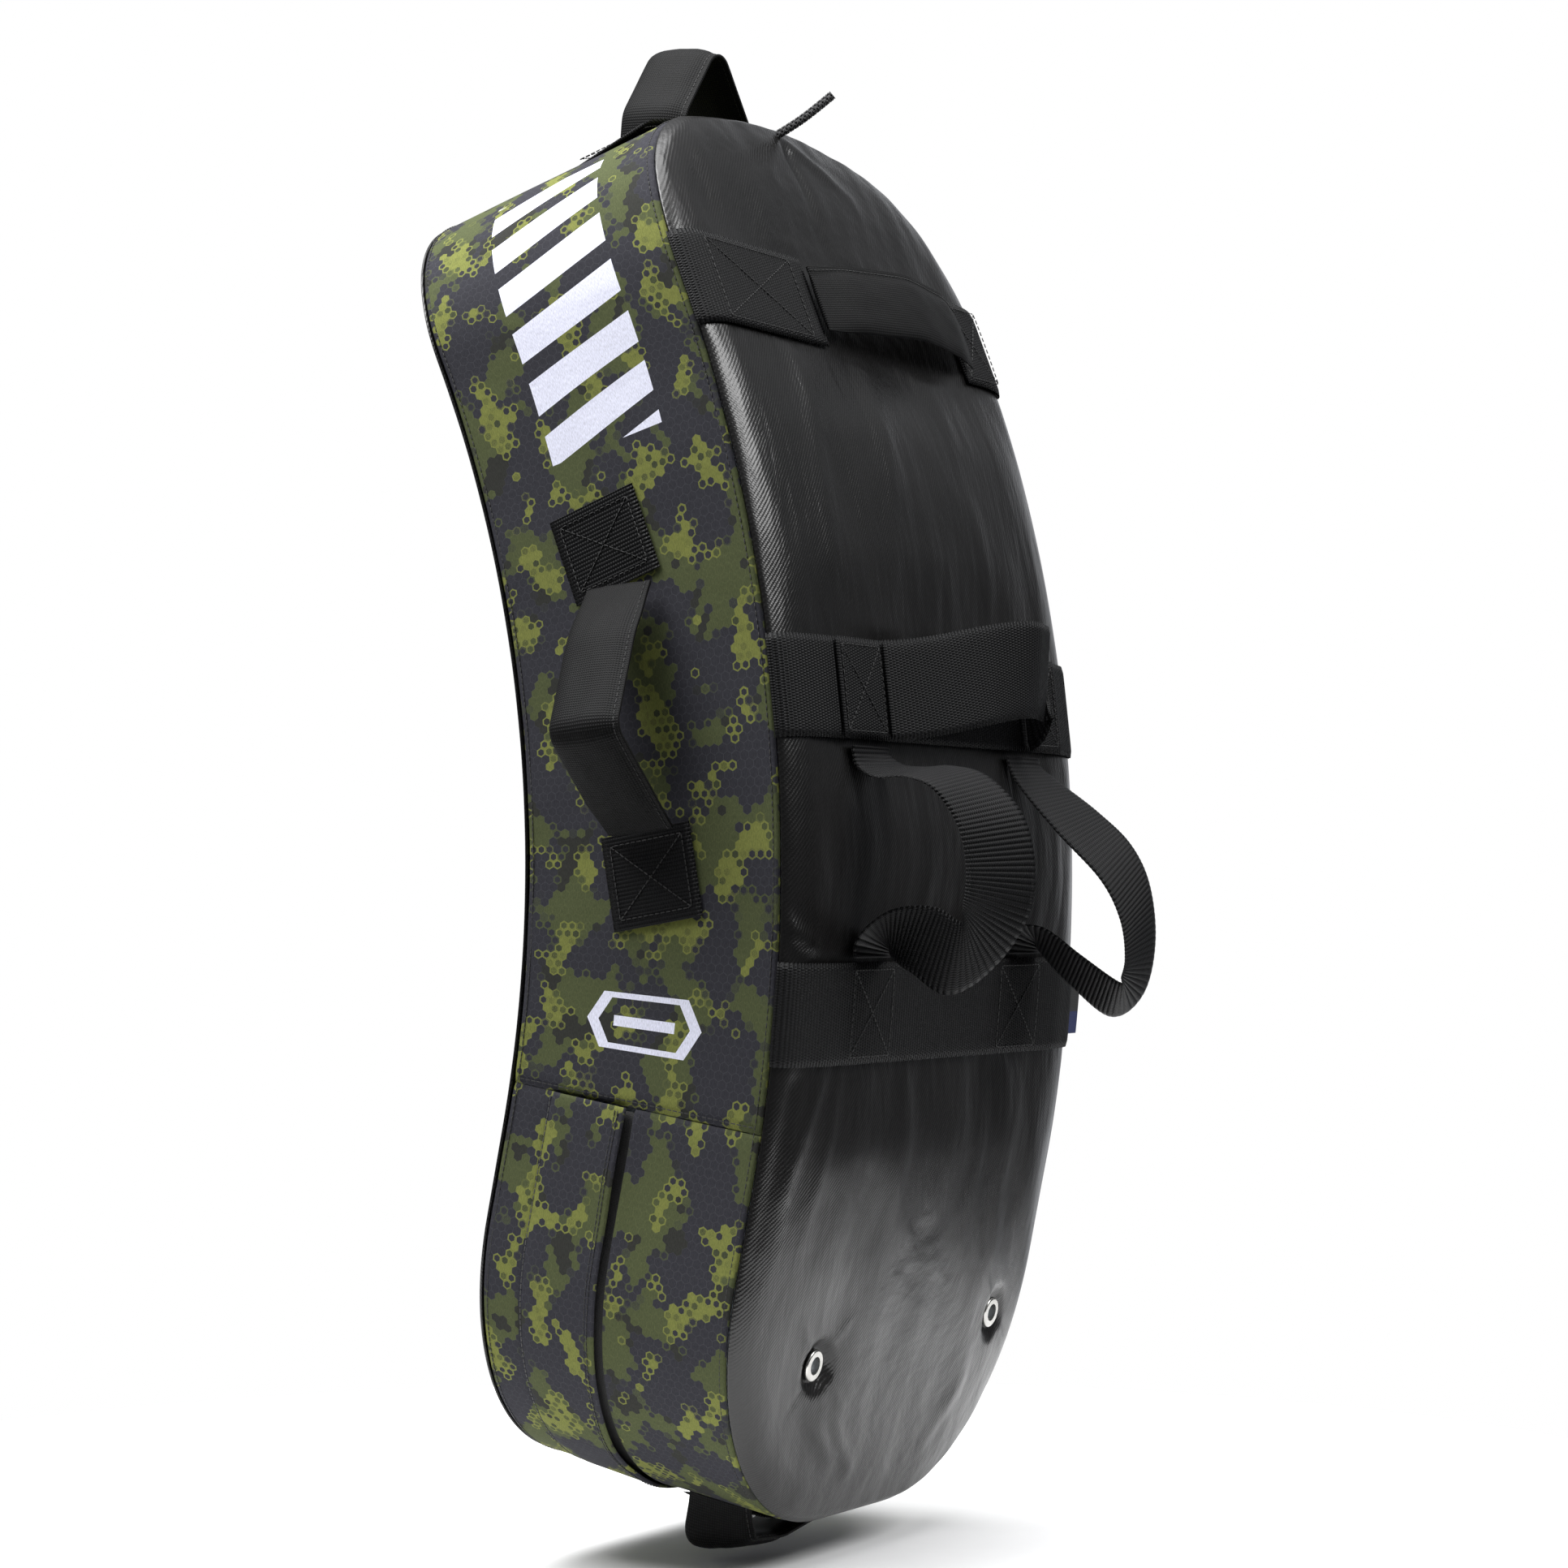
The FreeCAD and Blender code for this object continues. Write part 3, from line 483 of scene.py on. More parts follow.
def hexagons(m):
    """The centre of each point's hexagonal cell, and its reach from there, 0.5 at the cell's edge."""
    cell = m.vector("MULTIPLY", m.pattern, (1 / HEX_CELL, 1 / HEX_CELL, 0.0))
    lattice = (1.0, math.sqrt(3.0), 1.0)
    scaled = m.vector("DIVIDE", cell, lattice)
    offsets = []
    for shift in (0.0, 0.5):
        corner = m.vector("FRACTION", m.vector("SUBTRACT", scaled, (shift, shift, 0.0)))
        centred = m.vector("SUBTRACT", corner, (0.5, 0.5, 0.0))
        offsets.append(m.vector("MULTIPLY", centred, lattice))
    lengths = [m.add("VectorMath", offset, operation="LENGTH").outputs["Value"] for offset in offsets]
    offset = m.mix(m.below(lengths[0], lengths[1]), offsets[1], offsets[0])
    across, up, _ = m.split(m.vector("ABSOLUTE", offset))
    slanted = m.times_plus(up, math.sqrt(0.75), m.times(across, 0.5))
    return m.vector("SUBTRACT", cell, offset), m.larger(across, slanted)


def camouflage(m):
    """Patches of whole hexagonal cells in two greens on a dark ground, with open rings at their edges."""
    centre, reach = hexagons(m)
    chance = m.add("TexWhiteNoise", centre).outputs["Value"]
    olive_noise = m.noise(m.vector("MULTIPLY", centre, OLIVE_SPREAD), 1.0, 2.5)
    lime_place = m.vector("ADD", centre, (57.0, 31.0, 0.0))
    lime_noise = m.noise(m.vector("MULTIPLY", lime_place, LIME_SPREAD), 1.0, 2.0)
    dark_place = m.vector("ADD", centre, (-91.0, 77.0, 0.0))
    dark_noise = m.noise(m.vector("MULTIPLY", dark_place, DARK_SPREAD), 1.0, 2.0)
    ring = m.above(reach, m.times_plus(chance, 0.1, 0.27))
    line = m.ramp(reach, 0.455, 0.48)
    colour = m.mix(m.times(line, 0.35), GROUND, GROUND_LINE)

    olive = m.above(m.times_plus(chance, 0.03, olive_noise), OLIVE_FROM)
    olive_edge = m.times(m.above(olive_noise, OLIVE_EDGE), m.above(chance, 0.45))
    colour = m.mix(m.larger(olive, m.times(olive_edge, ring)), colour, OLIVE)
    colour = m.mix(m.times(olive, m.times(line, 0.5)), colour, OLIVE_LINE)
    colour = m.mix(m.times(olive, m.above(dark_noise, 0.57)), colour, OLIVE_DARK)

    lime = m.above(lime_noise, LIME_FROM)
    pierced = m.times(lime, m.above(chance, 0.72))
    lime_edge = m.times(m.above(lime_noise, LIME_EDGE), m.above(chance, 0.3))
    solid = m.math("SUBTRACT", lime, pierced)
    colour = m.mix(m.larger(solid, m.times(m.larger(lime_edge, pierced), ring)), colour, LIME)
    colour = m.mix(m.times(pierced, m.math("SUBTRACT", 1.0, ring)), colour, LIME_DARK)
    return m.mix(m.times(line, m.times(solid, 0.35)), colour, LIME_LINE)


def printed_marks(m):
    """1 on the slanted bars near the top and on the hexagon badge below, 0 elsewhere."""
    n, t, _ = m.split(m.pattern)
    far_round = m.math("ABSOLUTE", t)
    in_t = m.times(m.above(far_round, PRINT_REACH[0]), m.below(far_round, PRINT_REACH[1]))
    in_n = m.times(m.above(n, PRINT_N[0]), m.below(n, PRINT_N[1]))
    slant = m.times_plus(n, BAR_SLANT, far_round)
    bars = m.below(m.math("FRACT", m.math("DIVIDE", slant, BAR_PITCH)), BAR_SHARE)
    badge_t = m.math("ABSOLUTE", m.math("SUBTRACT", far_round, rim_at(BADGE_S)))
    badge_n = m.math("ABSOLUTE", m.math("SUBTRACT", n, BADGE_N))
    slanted_edge = m.math("DIVIDE", m.times_plus(badge_t, 0.6, badge_n), BADGE_HALF_LENGTH)
    badge = m.larger(slanted_edge, m.math("DIVIDE", badge_t, BADGE_HALF_HEIGHT))
    frame_line = m.times(m.below(badge, 1.0), m.above(badge, BADGE_INSIDE))
    core = m.times(m.below(badge_t, BADGE_BAR_HALF_HEIGHT), m.below(badge_n, BADGE_BAR_HALF_LENGTH))
    return m.larger(m.times(m.times(in_t, in_n), bars), m.larger(frame_line, core))


def printed_cloth():
    """Brushed polyester with the camouflage and the plain marks printed on it."""
    m = Shader("printed_cloth")
    colour = m.mix(printed_marks(m), camouflage(m), PRINT_WHITE)
    fuzz = m.noise(m.vector("MULTIPLY", m.pattern, (2.4, 0.55, 1.0)), 1.0, 2.0)
    shade = m.times_plus(fuzz, 0.9, 0.55)
    m.set(Base_Color=m.vector("MULTIPLY", colour, m.join(shade, shade, shade)), Roughness=0.88)
    m.feed(m.surface.inputs["Specular IOR Level"], 0.15)
    soft = m.noise(m.pattern, 0.06, 2.0)
    m.bump(m.times_plus(soft, 6.0, fuzz), 0.1, 0.8)
    return m.material


def ribbed_nylon():
    """Heavy webbing: ribs with beads along them, coloured lighter on the bead crowns and near-black in the
    grooves between, as painted shade that follows the relief.
    """
    m = Shader("ribbed_nylon")
    across, distance, rise = m.split(m.pattern)
    shifted = m.times_plus(m.math("FLOOR", m.math("DIVIDE", distance, RIB_PITCH)), 0.7, across)
    bead = m.wave(shifted, 1.4)
    crown = m.times(rise, m.times_plus(bead, 0.5, 0.5))
    dusty = m.noise(m.pattern, 0.05, 3.0)
    light = m.mix(dusty, grey(0.007, COOL), grey(0.012, COOL))
    # Painted shade: near black in the grooves between the ribs, the rib colour on the bead crowns.
    m.set(Base_Color=m.mix(crown, grey(0.001), light), Roughness=0.5)
    m.feed(m.surface.inputs["Specular IOR Level"], 0.15)
    m.bump(m.times_plus(m.noise(m.pattern, 2.0), 0.3, bead), 0.22, 0.8)
    return m.material


def fine_mesh():
    """The square weave that covers the padded handles."""
    m = Shader("fine_mesh")
    across, distance, _ = m.split(m.pattern)
    weave = m.times(m.wave(across, 1.25), m.wave(distance, 1.3))
    dusty = m.noise(m.pattern, 0.06, 3.0)
    light = m.mix(dusty, grey(0.005, COOL), grey(0.009, COOL))
    m.set(Base_Color=m.mix(m.ramp(weave, 0.05, 0.6), grey(0.002), light), Roughness=0.65)
    m.feed(m.surface.inputs["Specular IOR Level"], 0.16)
    m.bump(weave, 0.3, 0.8)
    return m.material


def thread(name, value):
    m = Shader(name)
    twist = m.wave(m.split(m.pattern)[0], 0.45)
    m.set(Base_Color=m.mix(twist, grey(value * 0.5), grey(value)), Roughness=0.5)
    m.bump(twist, 0.08)
    return m.material


def foam():
    m = Shader("closed_cell_foam")
    cells = m.add("TexVoronoi", m.pattern, None, 1.3).outputs["Distance"]
    m.set(Base_Color=m.mix(cells, (0.55, 0.63, 0.74, 1), (0.80, 0.86, 0.93, 1)), Roughness=0.85)
    m.bump(cells, 0.3, 0.7)
    return m.material


def woven_tape():
    m = Shader("zipper_tape_weave")
    across, distance, _ = m.split(m.pattern)
    weave = m.times(m.wave(across, 0.8), m.wave(distance, 0.8))
    m.set(Base_Color=m.mix(weave, grey(0.004), grey(0.018)), Roughness=0.75)
    m.bump(weave, 0.15, 0.8)
    return m.material


def label_cloth():
    """Plain woven label: dark above, blue below."""
    m = Shader("label_cloth")
    across, distance, _ = m.split(m.pattern)
    weave = m.times(m.wave(across, 0.6), m.wave(distance, 0.6))
    blue = m.below(distance, -3.0)
    base = m.mix(blue, grey(0.012), (0.008, 0.016, 0.08, 1))
    m.set(Base_Color=m.mix(m.times(weave, 0.35), base, grey(0.12)), Roughness=0.6)
    m.bump(weave, 0.12, 0.7)
    return m.material


def braided_polyester():
    m = Shader("braided_polyester")
    around, distance, _ = m.split(m.pattern)
    fibres = m.wave(m.times_plus(distance, 1.0, around), 0.35)
    m.set(Base_Color=m.mix(fibres, grey(0.006), grey(0.030, COOL)), Roughness=0.5)
    m.set(Sheen_Weight=0.3)
    m.bump(fibres, 0.08)
    return m.material


def plated(name, colour, roughness, metallic=1.0):
    """Metal with fine scratches and a slightly uneven polish."""
    m = Shader(name)
    position = m.add("TexCoord").outputs["Object"]
    scratches = m.noise(m.vector("MULTIPLY", position, (900.0, 2600.0, 900.0)), 1.0, 3.0)
    clouds = m.noise(position, 260.0, 2.0)
    m.set(Base_Color=m.mix(clouds, colour, tuple(c * 0.72 for c in colour[:3]) + (1.0,)), Metallic=metallic)
    m.set(Roughness=m.times_plus(scratches, 0.16, roughness))
    m.bump(scratches, 0.02, 0.5)
    return m.material


def moulded(name, value):
    m = Shader(name)
    grain = m.noise(m.pattern, 3.0, 2.0)
    m.set(Base_Color=m.mix(grain, grey(value * 0.7), grey(value)), Roughness=0.4)
    m.bump(grain, 0.04, 0.6)
    return m.material


VINYL = vinyl()
PRINT = printed_cloth()
NYLON = ribbed_nylon()
MESH = fine_mesh()
THREAD = thread("black_thread", 0.014)
FLAP_THREAD = thread("grey_thread", 0.075)
FOAM = foam()
TAPE = woven_tape()
LABEL = label_cloth()
BRAID = braided_polyester()
COIL = moulded("nylon_coil", 0.014)
NICKEL = plated("nickel", (0.62, 0.61, 0.58, 1.0), 0.16)
BLACK_METAL = plated("black_lacquer", (0.035, 0.035, 0.037, 1.0), 0.26, 0.6)


# ---- flat sheets inside the outline --------------------------------------------------------------------

class Sheet:
    """A mesh of the body's outline: rings that follow the rim, then even triangles. Faces run anticlockwise
    in (x, s), and depth is how far each point lies inside the outline."""

    def __init__(self, spacing, rings, holes=(), inset=0.0, n=0.0):
        count = int(round(RIM_LENGTH / spacing))
        self.rim_count = count
        x, s, nx, ns = rim(np.arange(count) * RIM_LENGTH / count)
        loops = [np.stack([x - nx * (inset + d), s - ns * (inset + d)], axis=1) for d in rings]
        spots = self._inside(spacing, inset + rings[-1] + 0.6 * spacing)
        circles = []
        for hole_x, hole_s, radius in holes:
            turn = np.arange(20) * 2 * math.pi / 20
            ring = np.stack([np.cos(turn), np.sin(turn)], axis=1)
            far = np.hypot(spots[:, 0] - hole_x, spots[:, 1] - hole_s) > radius + 5.0
            spots = spots[far]
            for size in (radius, radius + 1.6, radius + 3.6):
                circles.append([hole_x, hole_s] + ring * size)
        first = (len(rings) - 1) * count
        inner = np.concatenate([loops[-1], spots] + circles)
        edges = [(i, (i + 1) % count) for i in range(count)]
        _, _, triangles, origins, _, _ = delaunay_2d_cdt(inner.tolist(), edges, [], 1, 1e-5)
        faces = grid_faces(len(rings), count, closed=True)
        for triangle in triangles:
            corners = [origins[i][0] for i in triangle]
            middle = inner[corners].mean(axis=0)
            in_hole = any(np.hypot(middle[0] - hx, middle[1] - hs) < hr * 0.97 for hx, hs, hr in holes)
            if not in_hole:
                faces.append(tuple(first + corner for corner in corners))
        flat = np.concatenate(loops[:-1] + [inner])
        self.x, self.s = flat[:, 0], sloped(flat[:, 1], n)
        self.faces = faces
        self.depth = np.concatenate([np.full(count, d) for d in rings[:-1]]
                                    + [self._depth(inner) - inset])
        self.level = np.concatenate([np.full(count, k) for k in range(len(rings))]
                                    + [np.full(len(self.x) - len(rings) * count, len(rings))])

    @staticmethod
    def _depth(points):
        x, s, nx, ns = rim(np.arange(900) * RIM_LENGTH / 900)
        samples = np.stack([x, s], axis=1)
        result = np.empty(len(points))
        for start in range(0, len(points), 1000):
            block = points[start:start + 1000]
            gaps = block[:, None, :] - samples[None]
            nearest = np.argmin((gaps ** 2).sum(axis=2), axis=1)
            normal = np.stack([nx[nearest], ns[nearest]], axis=1)
            gap = block - samples[nearest]
            result[start:start + 1000] = -(gap * normal).sum(axis=1)
        return result

    def _inside(self, spacing, margin):
        rows = np.arange(BOTTOM, TOP, spacing * math.sqrt(0.75))
        spots = []
        for k, s in enumerate(rows):
            x = np.arange(-HALF, HALF, spacing) + (k % 2) * spacing / 2
            spots.append(np.stack([x, np.full_like(x, s)], axis=1))
        spots = np.concatenate(spots)
        return spots[self._depth(spots) > margin]

    def flipped(self):
        return [tuple(reversed(face)) for face in self.faces]


ROLL_RINGS = [TUCK, 0.15, 0.6, 1.4, 2.6, 4.4, 6.8, 9.8, 13.5, 18.0]


def roll_height(x, depth, side):
    """Height of a face above its seam: it swells over a soft roll, wider on the -X side of the back."""
    width = ROLL_STRIKE if side < 0 else ROLL_NEAR + (ROLL_FAR - ROLL_NEAR) * smooth((40.0 - x) / 180.0)
    return (FACE_N - SEAM_N) * np.sqrt(1 - (1 - np.clip(depth / width, 0.0, 1.0)) ** 2)


def near_straps(s, reach, fade=8.0):
    """1 under the straps that press on the rear face, 0 away from them."""
    gap = np.min([np.abs(s - strap) for strap in (STRAP_UPPER, STRAP_FOREARM, STRAP_LOWER)], axis=0)
    return smooth((reach + fade - gap) / fade)


def evened(values, faces, rounds):
    """Averages a value at each point with those of its neighbours, a number of times over."""
    pairs = np.array([(face[k - 1], face[k]) for face in faces for k in range(len(face))])
    first = np.concatenate([pairs[:, 0], pairs[:, 1]])
    second = np.concatenate([pairs[:, 1], pairs[:, 0]])
    neighbours = np.maximum(np.bincount(first, minlength=len(values)), 1)[:, None]
    for _ in range(rounds):
        total = np.stack([np.bincount(first, column[second], len(values)) for column in values.T], axis=1)
        values = 0.4 * values + 0.6 * total / neighbours
    return values


PRESSURE = 4.0
CLOTH_FRAMES = 20
EVENING_ROUNDS = 14
SWELL_CAP = 3.0


def inflate(points, faces, fixed):
    """Swells a closed cloth form with air pressure and returns how its points moved, evened and capped."""
    obj = make_object("inflated", Patch(points, faces, np.zeros_like(points)), [])
    group = obj.vertex_groups.new(name="sewn")
    group.add(np.nonzero(fixed)[0].tolist(), 1.0, "REPLACE")
    cloth = obj.modifiers.new("inflate", "CLOTH")
    settings = cloth.settings
    settings.vertex_group_mass = "sewn"
    settings.use_pressure = True
    settings.uniform_pressure_force = PRESSURE
    settings.shrink_min = -0.002
    settings.tension_stiffness = 12.0
    settings.compression_stiffness = 12.0
    settings.bending_stiffness = 8.0
    settings.quality = 6
    settings.effector_weights.gravity = 0.0
    cloth.point_cache.frame_end = CLOTH_FRAMES
    scene = bpy.context.scene
    for number in range(1, CLOTH_FRAMES + 1):
        scene.frame_set(number)
    result = obj.evaluated_get(bpy.context.evaluated_depsgraph_get())
    moved = evened(mesh_points(result.data) - points, faces, EVENING_ROUNDS)
    moved[fixed] = 0.0
    scene.frame_set(1)
    bpy.data.objects.remove(obj)
    size = np.linalg.norm(moved, axis=1, keepdims=True)
    return moved * np.minimum(1.0, SWELL_CAP / np.maximum(size, 1e-6))


# Creases in the rear face: x and s of both ends, half width, height.
CREASES = (
    (166, -32, 140, -46, 4.0, 2.4),
    (163, -48, 134, -60, 5.0, -1.8),
    (128, -98, 152, -152, 5.0, 1.5),
    (112, -100, 126, -172, 6.0, 1.3),
    (92, -104, 96, -200, 9.0, 1.0),
    (40, -106, 34, -220, 14.0, 1.2),
    (-20, -106, -14, -230, 16.0, 1.0),
    (-84, -106, -88, -200, 12.0, 1.1),
    (150, -86, 160, -170, 5.0, -1.4),
    (12, 226, 30, 140, 13.0, 1.0),
    (-60, 228, -70, 130, 14.0, 1.0),
    (90, 226, 104, 130, 10.0, 1.0),
    (4, 350, -46, 322, 5.0, 1.6),
    (10, 350, 54, 318, 5.0, 1.5),
    (8, 346, 10, 306, 4.0, -1.6),
    (72, -247, 56, -262, 2.4, 0.9),
    (97, -229, 112, -214, 2.6, 0.9),
    (94, -248, 108, -262, 2.2, -0.7),
    (76, -229, 62, -216, 2.2, 0.7),
    (-127, -239, -141, -252, 2.4, 0.8),
    (-103, -222, -90, -208, 2.4, 0.8),
    (58, -290, 88, -262, 5.0, 1.4),
    (36, -296, 62, -270, 5.0, 1.2),
    (-50, -292, -84, -262, 6.0, 1.2),
)


def creases(x, s):
    height = np.zeros_like(x)
    for x0, s0, x1, s1, half_width, rise in CREASES:
        length2 = (x1 - x0) ** 2 + (s1 - s0) ** 2
        share = np.clip(((x - x0) * (x1 - x0) + (s - s0) * (s1 - s0)) / length2, 0, 1)
        bow = 0.25 * math.sqrt(length2) * np.sin(share * math.pi) * 0.3
        gap = np.hypot(x - x0 - share * (x1 - x0) - bow * 0.2, s - s0 - share * (s1 - s0))
        taper = 0.35 + 0.65 * np.sin(math.pi * np.clip(share * 0.8 + 0.2, 0, 1))
        height += rise * taper * np.exp(-(gap / half_width) ** 2)
    return height


BACKING_DEPTH = 25.0         # how far under its seam a face's backing lies in the simulation
EYELET_HELD = 5.0            # the vinyl is held this far round each eyelet


def blown_face(side, holes):
    """A face's sheet, and its points after the simulation, sewn at the rim and held under the straps."""
    sheet = Sheet(6.4, ROLL_RINGS, holes, n=side * SEAM_N)
    height = np.where(sheet.level == 0, 0.0, roll_height(sheet.x, sheet.depth, side))
    points = place(sheet.s, side * (SEAM_N + height), sheet.x)
    held = sheet.depth < 2.0
    if side > 0:
        held |= near_straps(sheet.s, 20.0) > 0.5
        for x, s, radius in holes:
            held |= np.hypot(sheet.x - x, sheet.s - s) < radius + EYELET_HELD
    backing = place(sheet.s, side * (SEAM_N - BACKING_DEPTH), sheet.x)
    count = sheet.rim_count
    base = len(points)
    walls = [(i, (i + 1) % count, base + (i + 1) % count, base + i) for i in range(count)]
    closed = sheet.faces + walls + [tuple(base + i for i in reversed(face)) for face in sheet.faces]
    if side > 0:
        closed = [tuple(reversed(face)) for face in closed]
    fixed = np.concatenate([held, np.ones(base, bool)])
    moved = inflate(np.concatenate([points, backing]), closed, fixed)[:base]
    return sheet, points + moved * smooth(sheet.depth / 12.0)[:, None]


def face_relief(x, s, depth, side, holes):
    """Unevenness and creases of a face, flat under the straps and dished round the eyelets."""
    lift = 0.55 * ripple(x, s, 90.0, 5 + side) * smooth(depth / 25.0)
    if side < 0:
        return lift + 0.3 * ripple(x, s, 40.0, 23)
    free = 1 - near_straps(s, 22.0)
    lift = (lift + creases(x, s) + 0.25 * ripple(x, s * 0.4, 26.0, 11)) * free - 0.2 * (1 - free)
    lift = lift + CROWN * (1 - (x / HALF) ** 2) * (1 - near_straps(s, 24.0, 44.0))
    for hole_x, hole_s, _ in holes:
        gap = np.hypot(x - hole_x, s - hole_s)
        lift = lift * smooth((gap - 8.0) / 8.0) - 0.9 * np.exp(-((gap - 9.0) / 5.0) ** 2) - 0.1
    return lift


def face_panel(name, node, side):
    """Vinyl face over the foam: a rolled edge, a shallow crown and creases, sewn down under the straps."""
    holes = [(x, s, EYELET_HOLE) for x, s in EYELET_PLACES] if side > 0 else []
    sheet, points = blown_face(side, holes)
    pattern = np.stack([sheet.x, sheet.s, sheet.depth], axis=1)
    faces = sheet.flipped() if side > 0 else sheet.faces
    coarse = make_object(name + "_coarse", Patch(points, faces, pattern), [VINYL])
    subdivide(coarse)
    fine = bpy.data.meshes.new_from_object(coarse.evaluated_get(bpy.context.evaluated_depsgraph_get()))
    bpy.data.objects.remove(coarse)
    points = mesh_points(fine)
    pattern = np.empty(len(points) * 3)
    fine.attributes["cloth"].data.foreach_get("vector", pattern)
    x, s, depth = pattern.reshape(-1, 3).T
    lift = face_relief(x, s, depth, side, holes) * smooth((depth - 0.5) / 5.0)
    points = points + (outward(s) * side) * lift[:, None]
    fine.vertices.foreach_set("co", (points / 1000).ravel())
    fine.name = name
    fine.shade_smooth()
    fine.update()
    obj = bpy.data.objects.new(name, fine)
    bpy.context.scene.collection.objects.link(obj)
    thicken(obj, CLOTH)
    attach(obj, "root")
    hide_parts(node)
    return obj


face_panel("rear_cover", "rear_panel", 1)
face_panel("strike_cover", "strike_panel", -1)


# ---- foam inside ---------------------------------------------------------------------------------------

FOAM_INSET = 5.0
FOAM_SPLIT = 44.5


def foam_layer(name, node, low, high, low_roll, high_roll, inset=FOAM_INSET, pockets=()):
    """A cut sheet of foam with softened edges between two heights."""
    sheet = Sheet(14.0, [0.0, 1.5, 4.0, 8.0], [], inset)
    softening = 1 - smooth(sheet.depth / 9.0)
    top = high - high_roll * softening + 0.15 * ripple(sheet.x, sheet.s, 30.0, 3)
    for x, s in pockets:
        top -= 1.4 * (np.hypot(sheet.x - x, sheet.s - s) < 13.0)
    bottom = low + low_roll * softening
    count, base = sheet.rim_count, len(sheet.x)
    walls = [(i, (i + 1) % count, base + (i + 1) % count, base + i) for i in range(count)]
    faces = sheet.flipped() + [tuple(reversed(face)) for face in walls]
    faces += [tuple(base + i for i in face) for face in sheet.faces]
    points = np.concatenate([place(sloped(sheet.s, level), level, sheet.x) for level in (top, bottom)])
    pattern = np.concatenate([np.stack([sheet.x, sheet.s, level], axis=1) for level in (top, bottom)])
    return piece(name, Patch(points, faces, pattern), [FOAM], (node,))


foam_layer("foam_sheet_rear", "foam_rear_layer", FOAM_SPLIT + 0.4, 74.0, 0.0, 6.0, pockets=EYELET_PLACES)
foam_layer("foam_core", "foam_middle_block", -FOAM_SPLIT, FOAM_SPLIT, 0.3, 0.3, inset=8.5)
foam_layer("foam_sheet_strike", "foam_strike_layer", -74.0, -FOAM_SPLIT - 0.4, 6.0, 0.0)


# ---- printed cloth round the edge and its zipper -------------------------------------------------------

SEAM_T = rim_at(GUSSET_SEAM)
FLAP_END_T = RIM_LENGTH - rim_at(FLAP_END)


def edge_band(t_low, t_high, n_low, n_high, rise, step=4.5):
    """A strip of cloth round the edge. rise gives its height above the outline at (t, n)."""
    rows = int(round((t_high - t_low) / step)) + 1
    columns = int(round((n_high - n_low) / step)) + 1
    t = np.linspace(t_low, t_high, rows)
    inner = np.linspace(n_low + 2.4, n_high - 2.4, columns)
    n = np.concatenate([[n_low, n_low + 0.5, n_low + 1.2], inner, [n_high - 1.2, n_high - 0.5, n_high]])
    t, n = np.meshgrid(t, n, indexing="ij")
    points = rim_place(t, n, rise(t, n))
    wrapped = np.where(t > RIM_LENGTH / 2, t - RIM_LENGTH, t)
    pattern = np.stack([n, wrapped, np.zeros_like(n)], axis=-1)
    return Patch(points, grid_faces(*t.shape), pattern)


def tucked(distance, depth=1.7, reach=2.2):
    """How deep a cloth edge turns in at a seam, by its distance from the seam."""
    return -depth * (1 - smooth(distance / reach)) ** 1.5


def band_piece(name, node, *shape, slot="printed_cloth"):
    obj = piece(name, edge_band(*shape), [PRINT], (node,))
    subdivide(obj)
    return thicken(obj, CLOTH)


def soft_side(t, n):
    """Gentle unevenness of the cloth that hangs between two seams."""
    return 0.30 * ripple(t, n, 80.0, 31) - 0.35


def upper_band(t, n):
    seams = tucked(np.minimum(SEAM_N - n, n + SEAM_N)) + tucked(SEAM_T - np.abs(t), 1.2)
    return soft_side(t, n) + seams


def front_band(t, n):
    ends = tucked(np.minimum(t - SEAM_T, RIM_LENGTH - SEAM_T - t), 1.2)
    return soft_side(t, n) + tucked(n + SEAM_N) + ends - 0.5 * smooth((n - FLAP_SEAM_N) / 8.0)


def rear_band(t, n):
    ends = tucked(np.minimum(t - SEAM_T, RIM_LENGTH - SEAM_T - t), 1.2)
    fold = 0.5 * np.exp(-((n - ZIP_SLOT_REAR - 2.0) / 2.0) ** 2)
    return 0.4 * soft_side(t, n) + tucked(SEAM_N - n) + ends + fold


def flap_rise(t, n):
    """The flap: sewn down along its front and standing a little off its free edge."""
    loose = smooth((n - FLAP_SEAM_N) / (FLAP_EDGE_N - FLAP_SEAM_N))
    sewn = 1.0 - 0.9 * np.exp(-((n - FLAP_SEAM_N - 1.2) / 1.6) ** 2)
    waves = 0.7 * ripple(t, n * 0.3, 70.0, 37)
    hem = 0.35 * smooth((n - FLAP_EDGE_N + 5.0) / 1.5) - 1.2 * smooth((n - FLAP_EDGE_N + 0.9) / 0.9)
    ends = tucked(np.minimum(t - SEAM_T, 40.0), 1.0)
    return (1.1 + loose * (1.3 + waves)) * sewn + hem + ends


FRONT_EDGE, REAR_EDGE = -SEAM_N + GAP, SEAM_N - GAP
LOWER_REACH = (SEAM_T + 0.1, RIM_LENGTH - SEAM_T - 0.1)

band_piece("print_upper", "gusset_upper", -SEAM_T + 0.1, SEAM_T - 0.1, FRONT_EDGE, REAR_EDGE, upper_band)
band_piece("print_lower_front", "gusset_lower_front", *LOWER_REACH, FRONT_EDGE, ZIP_SLOT_FRONT, front_band)
band_piece("print_lower_rear", "gusset_lower_rear", *LOWER_REACH, ZIP_SLOT_REAR, REAR_EDGE, rear_band)
band_piece("print_flap", "zipper_flap", SEAM_T + 0.2, FLAP_END_T, FLAP_SEAM_N, FLAP_EDGE_N, flap_rise)


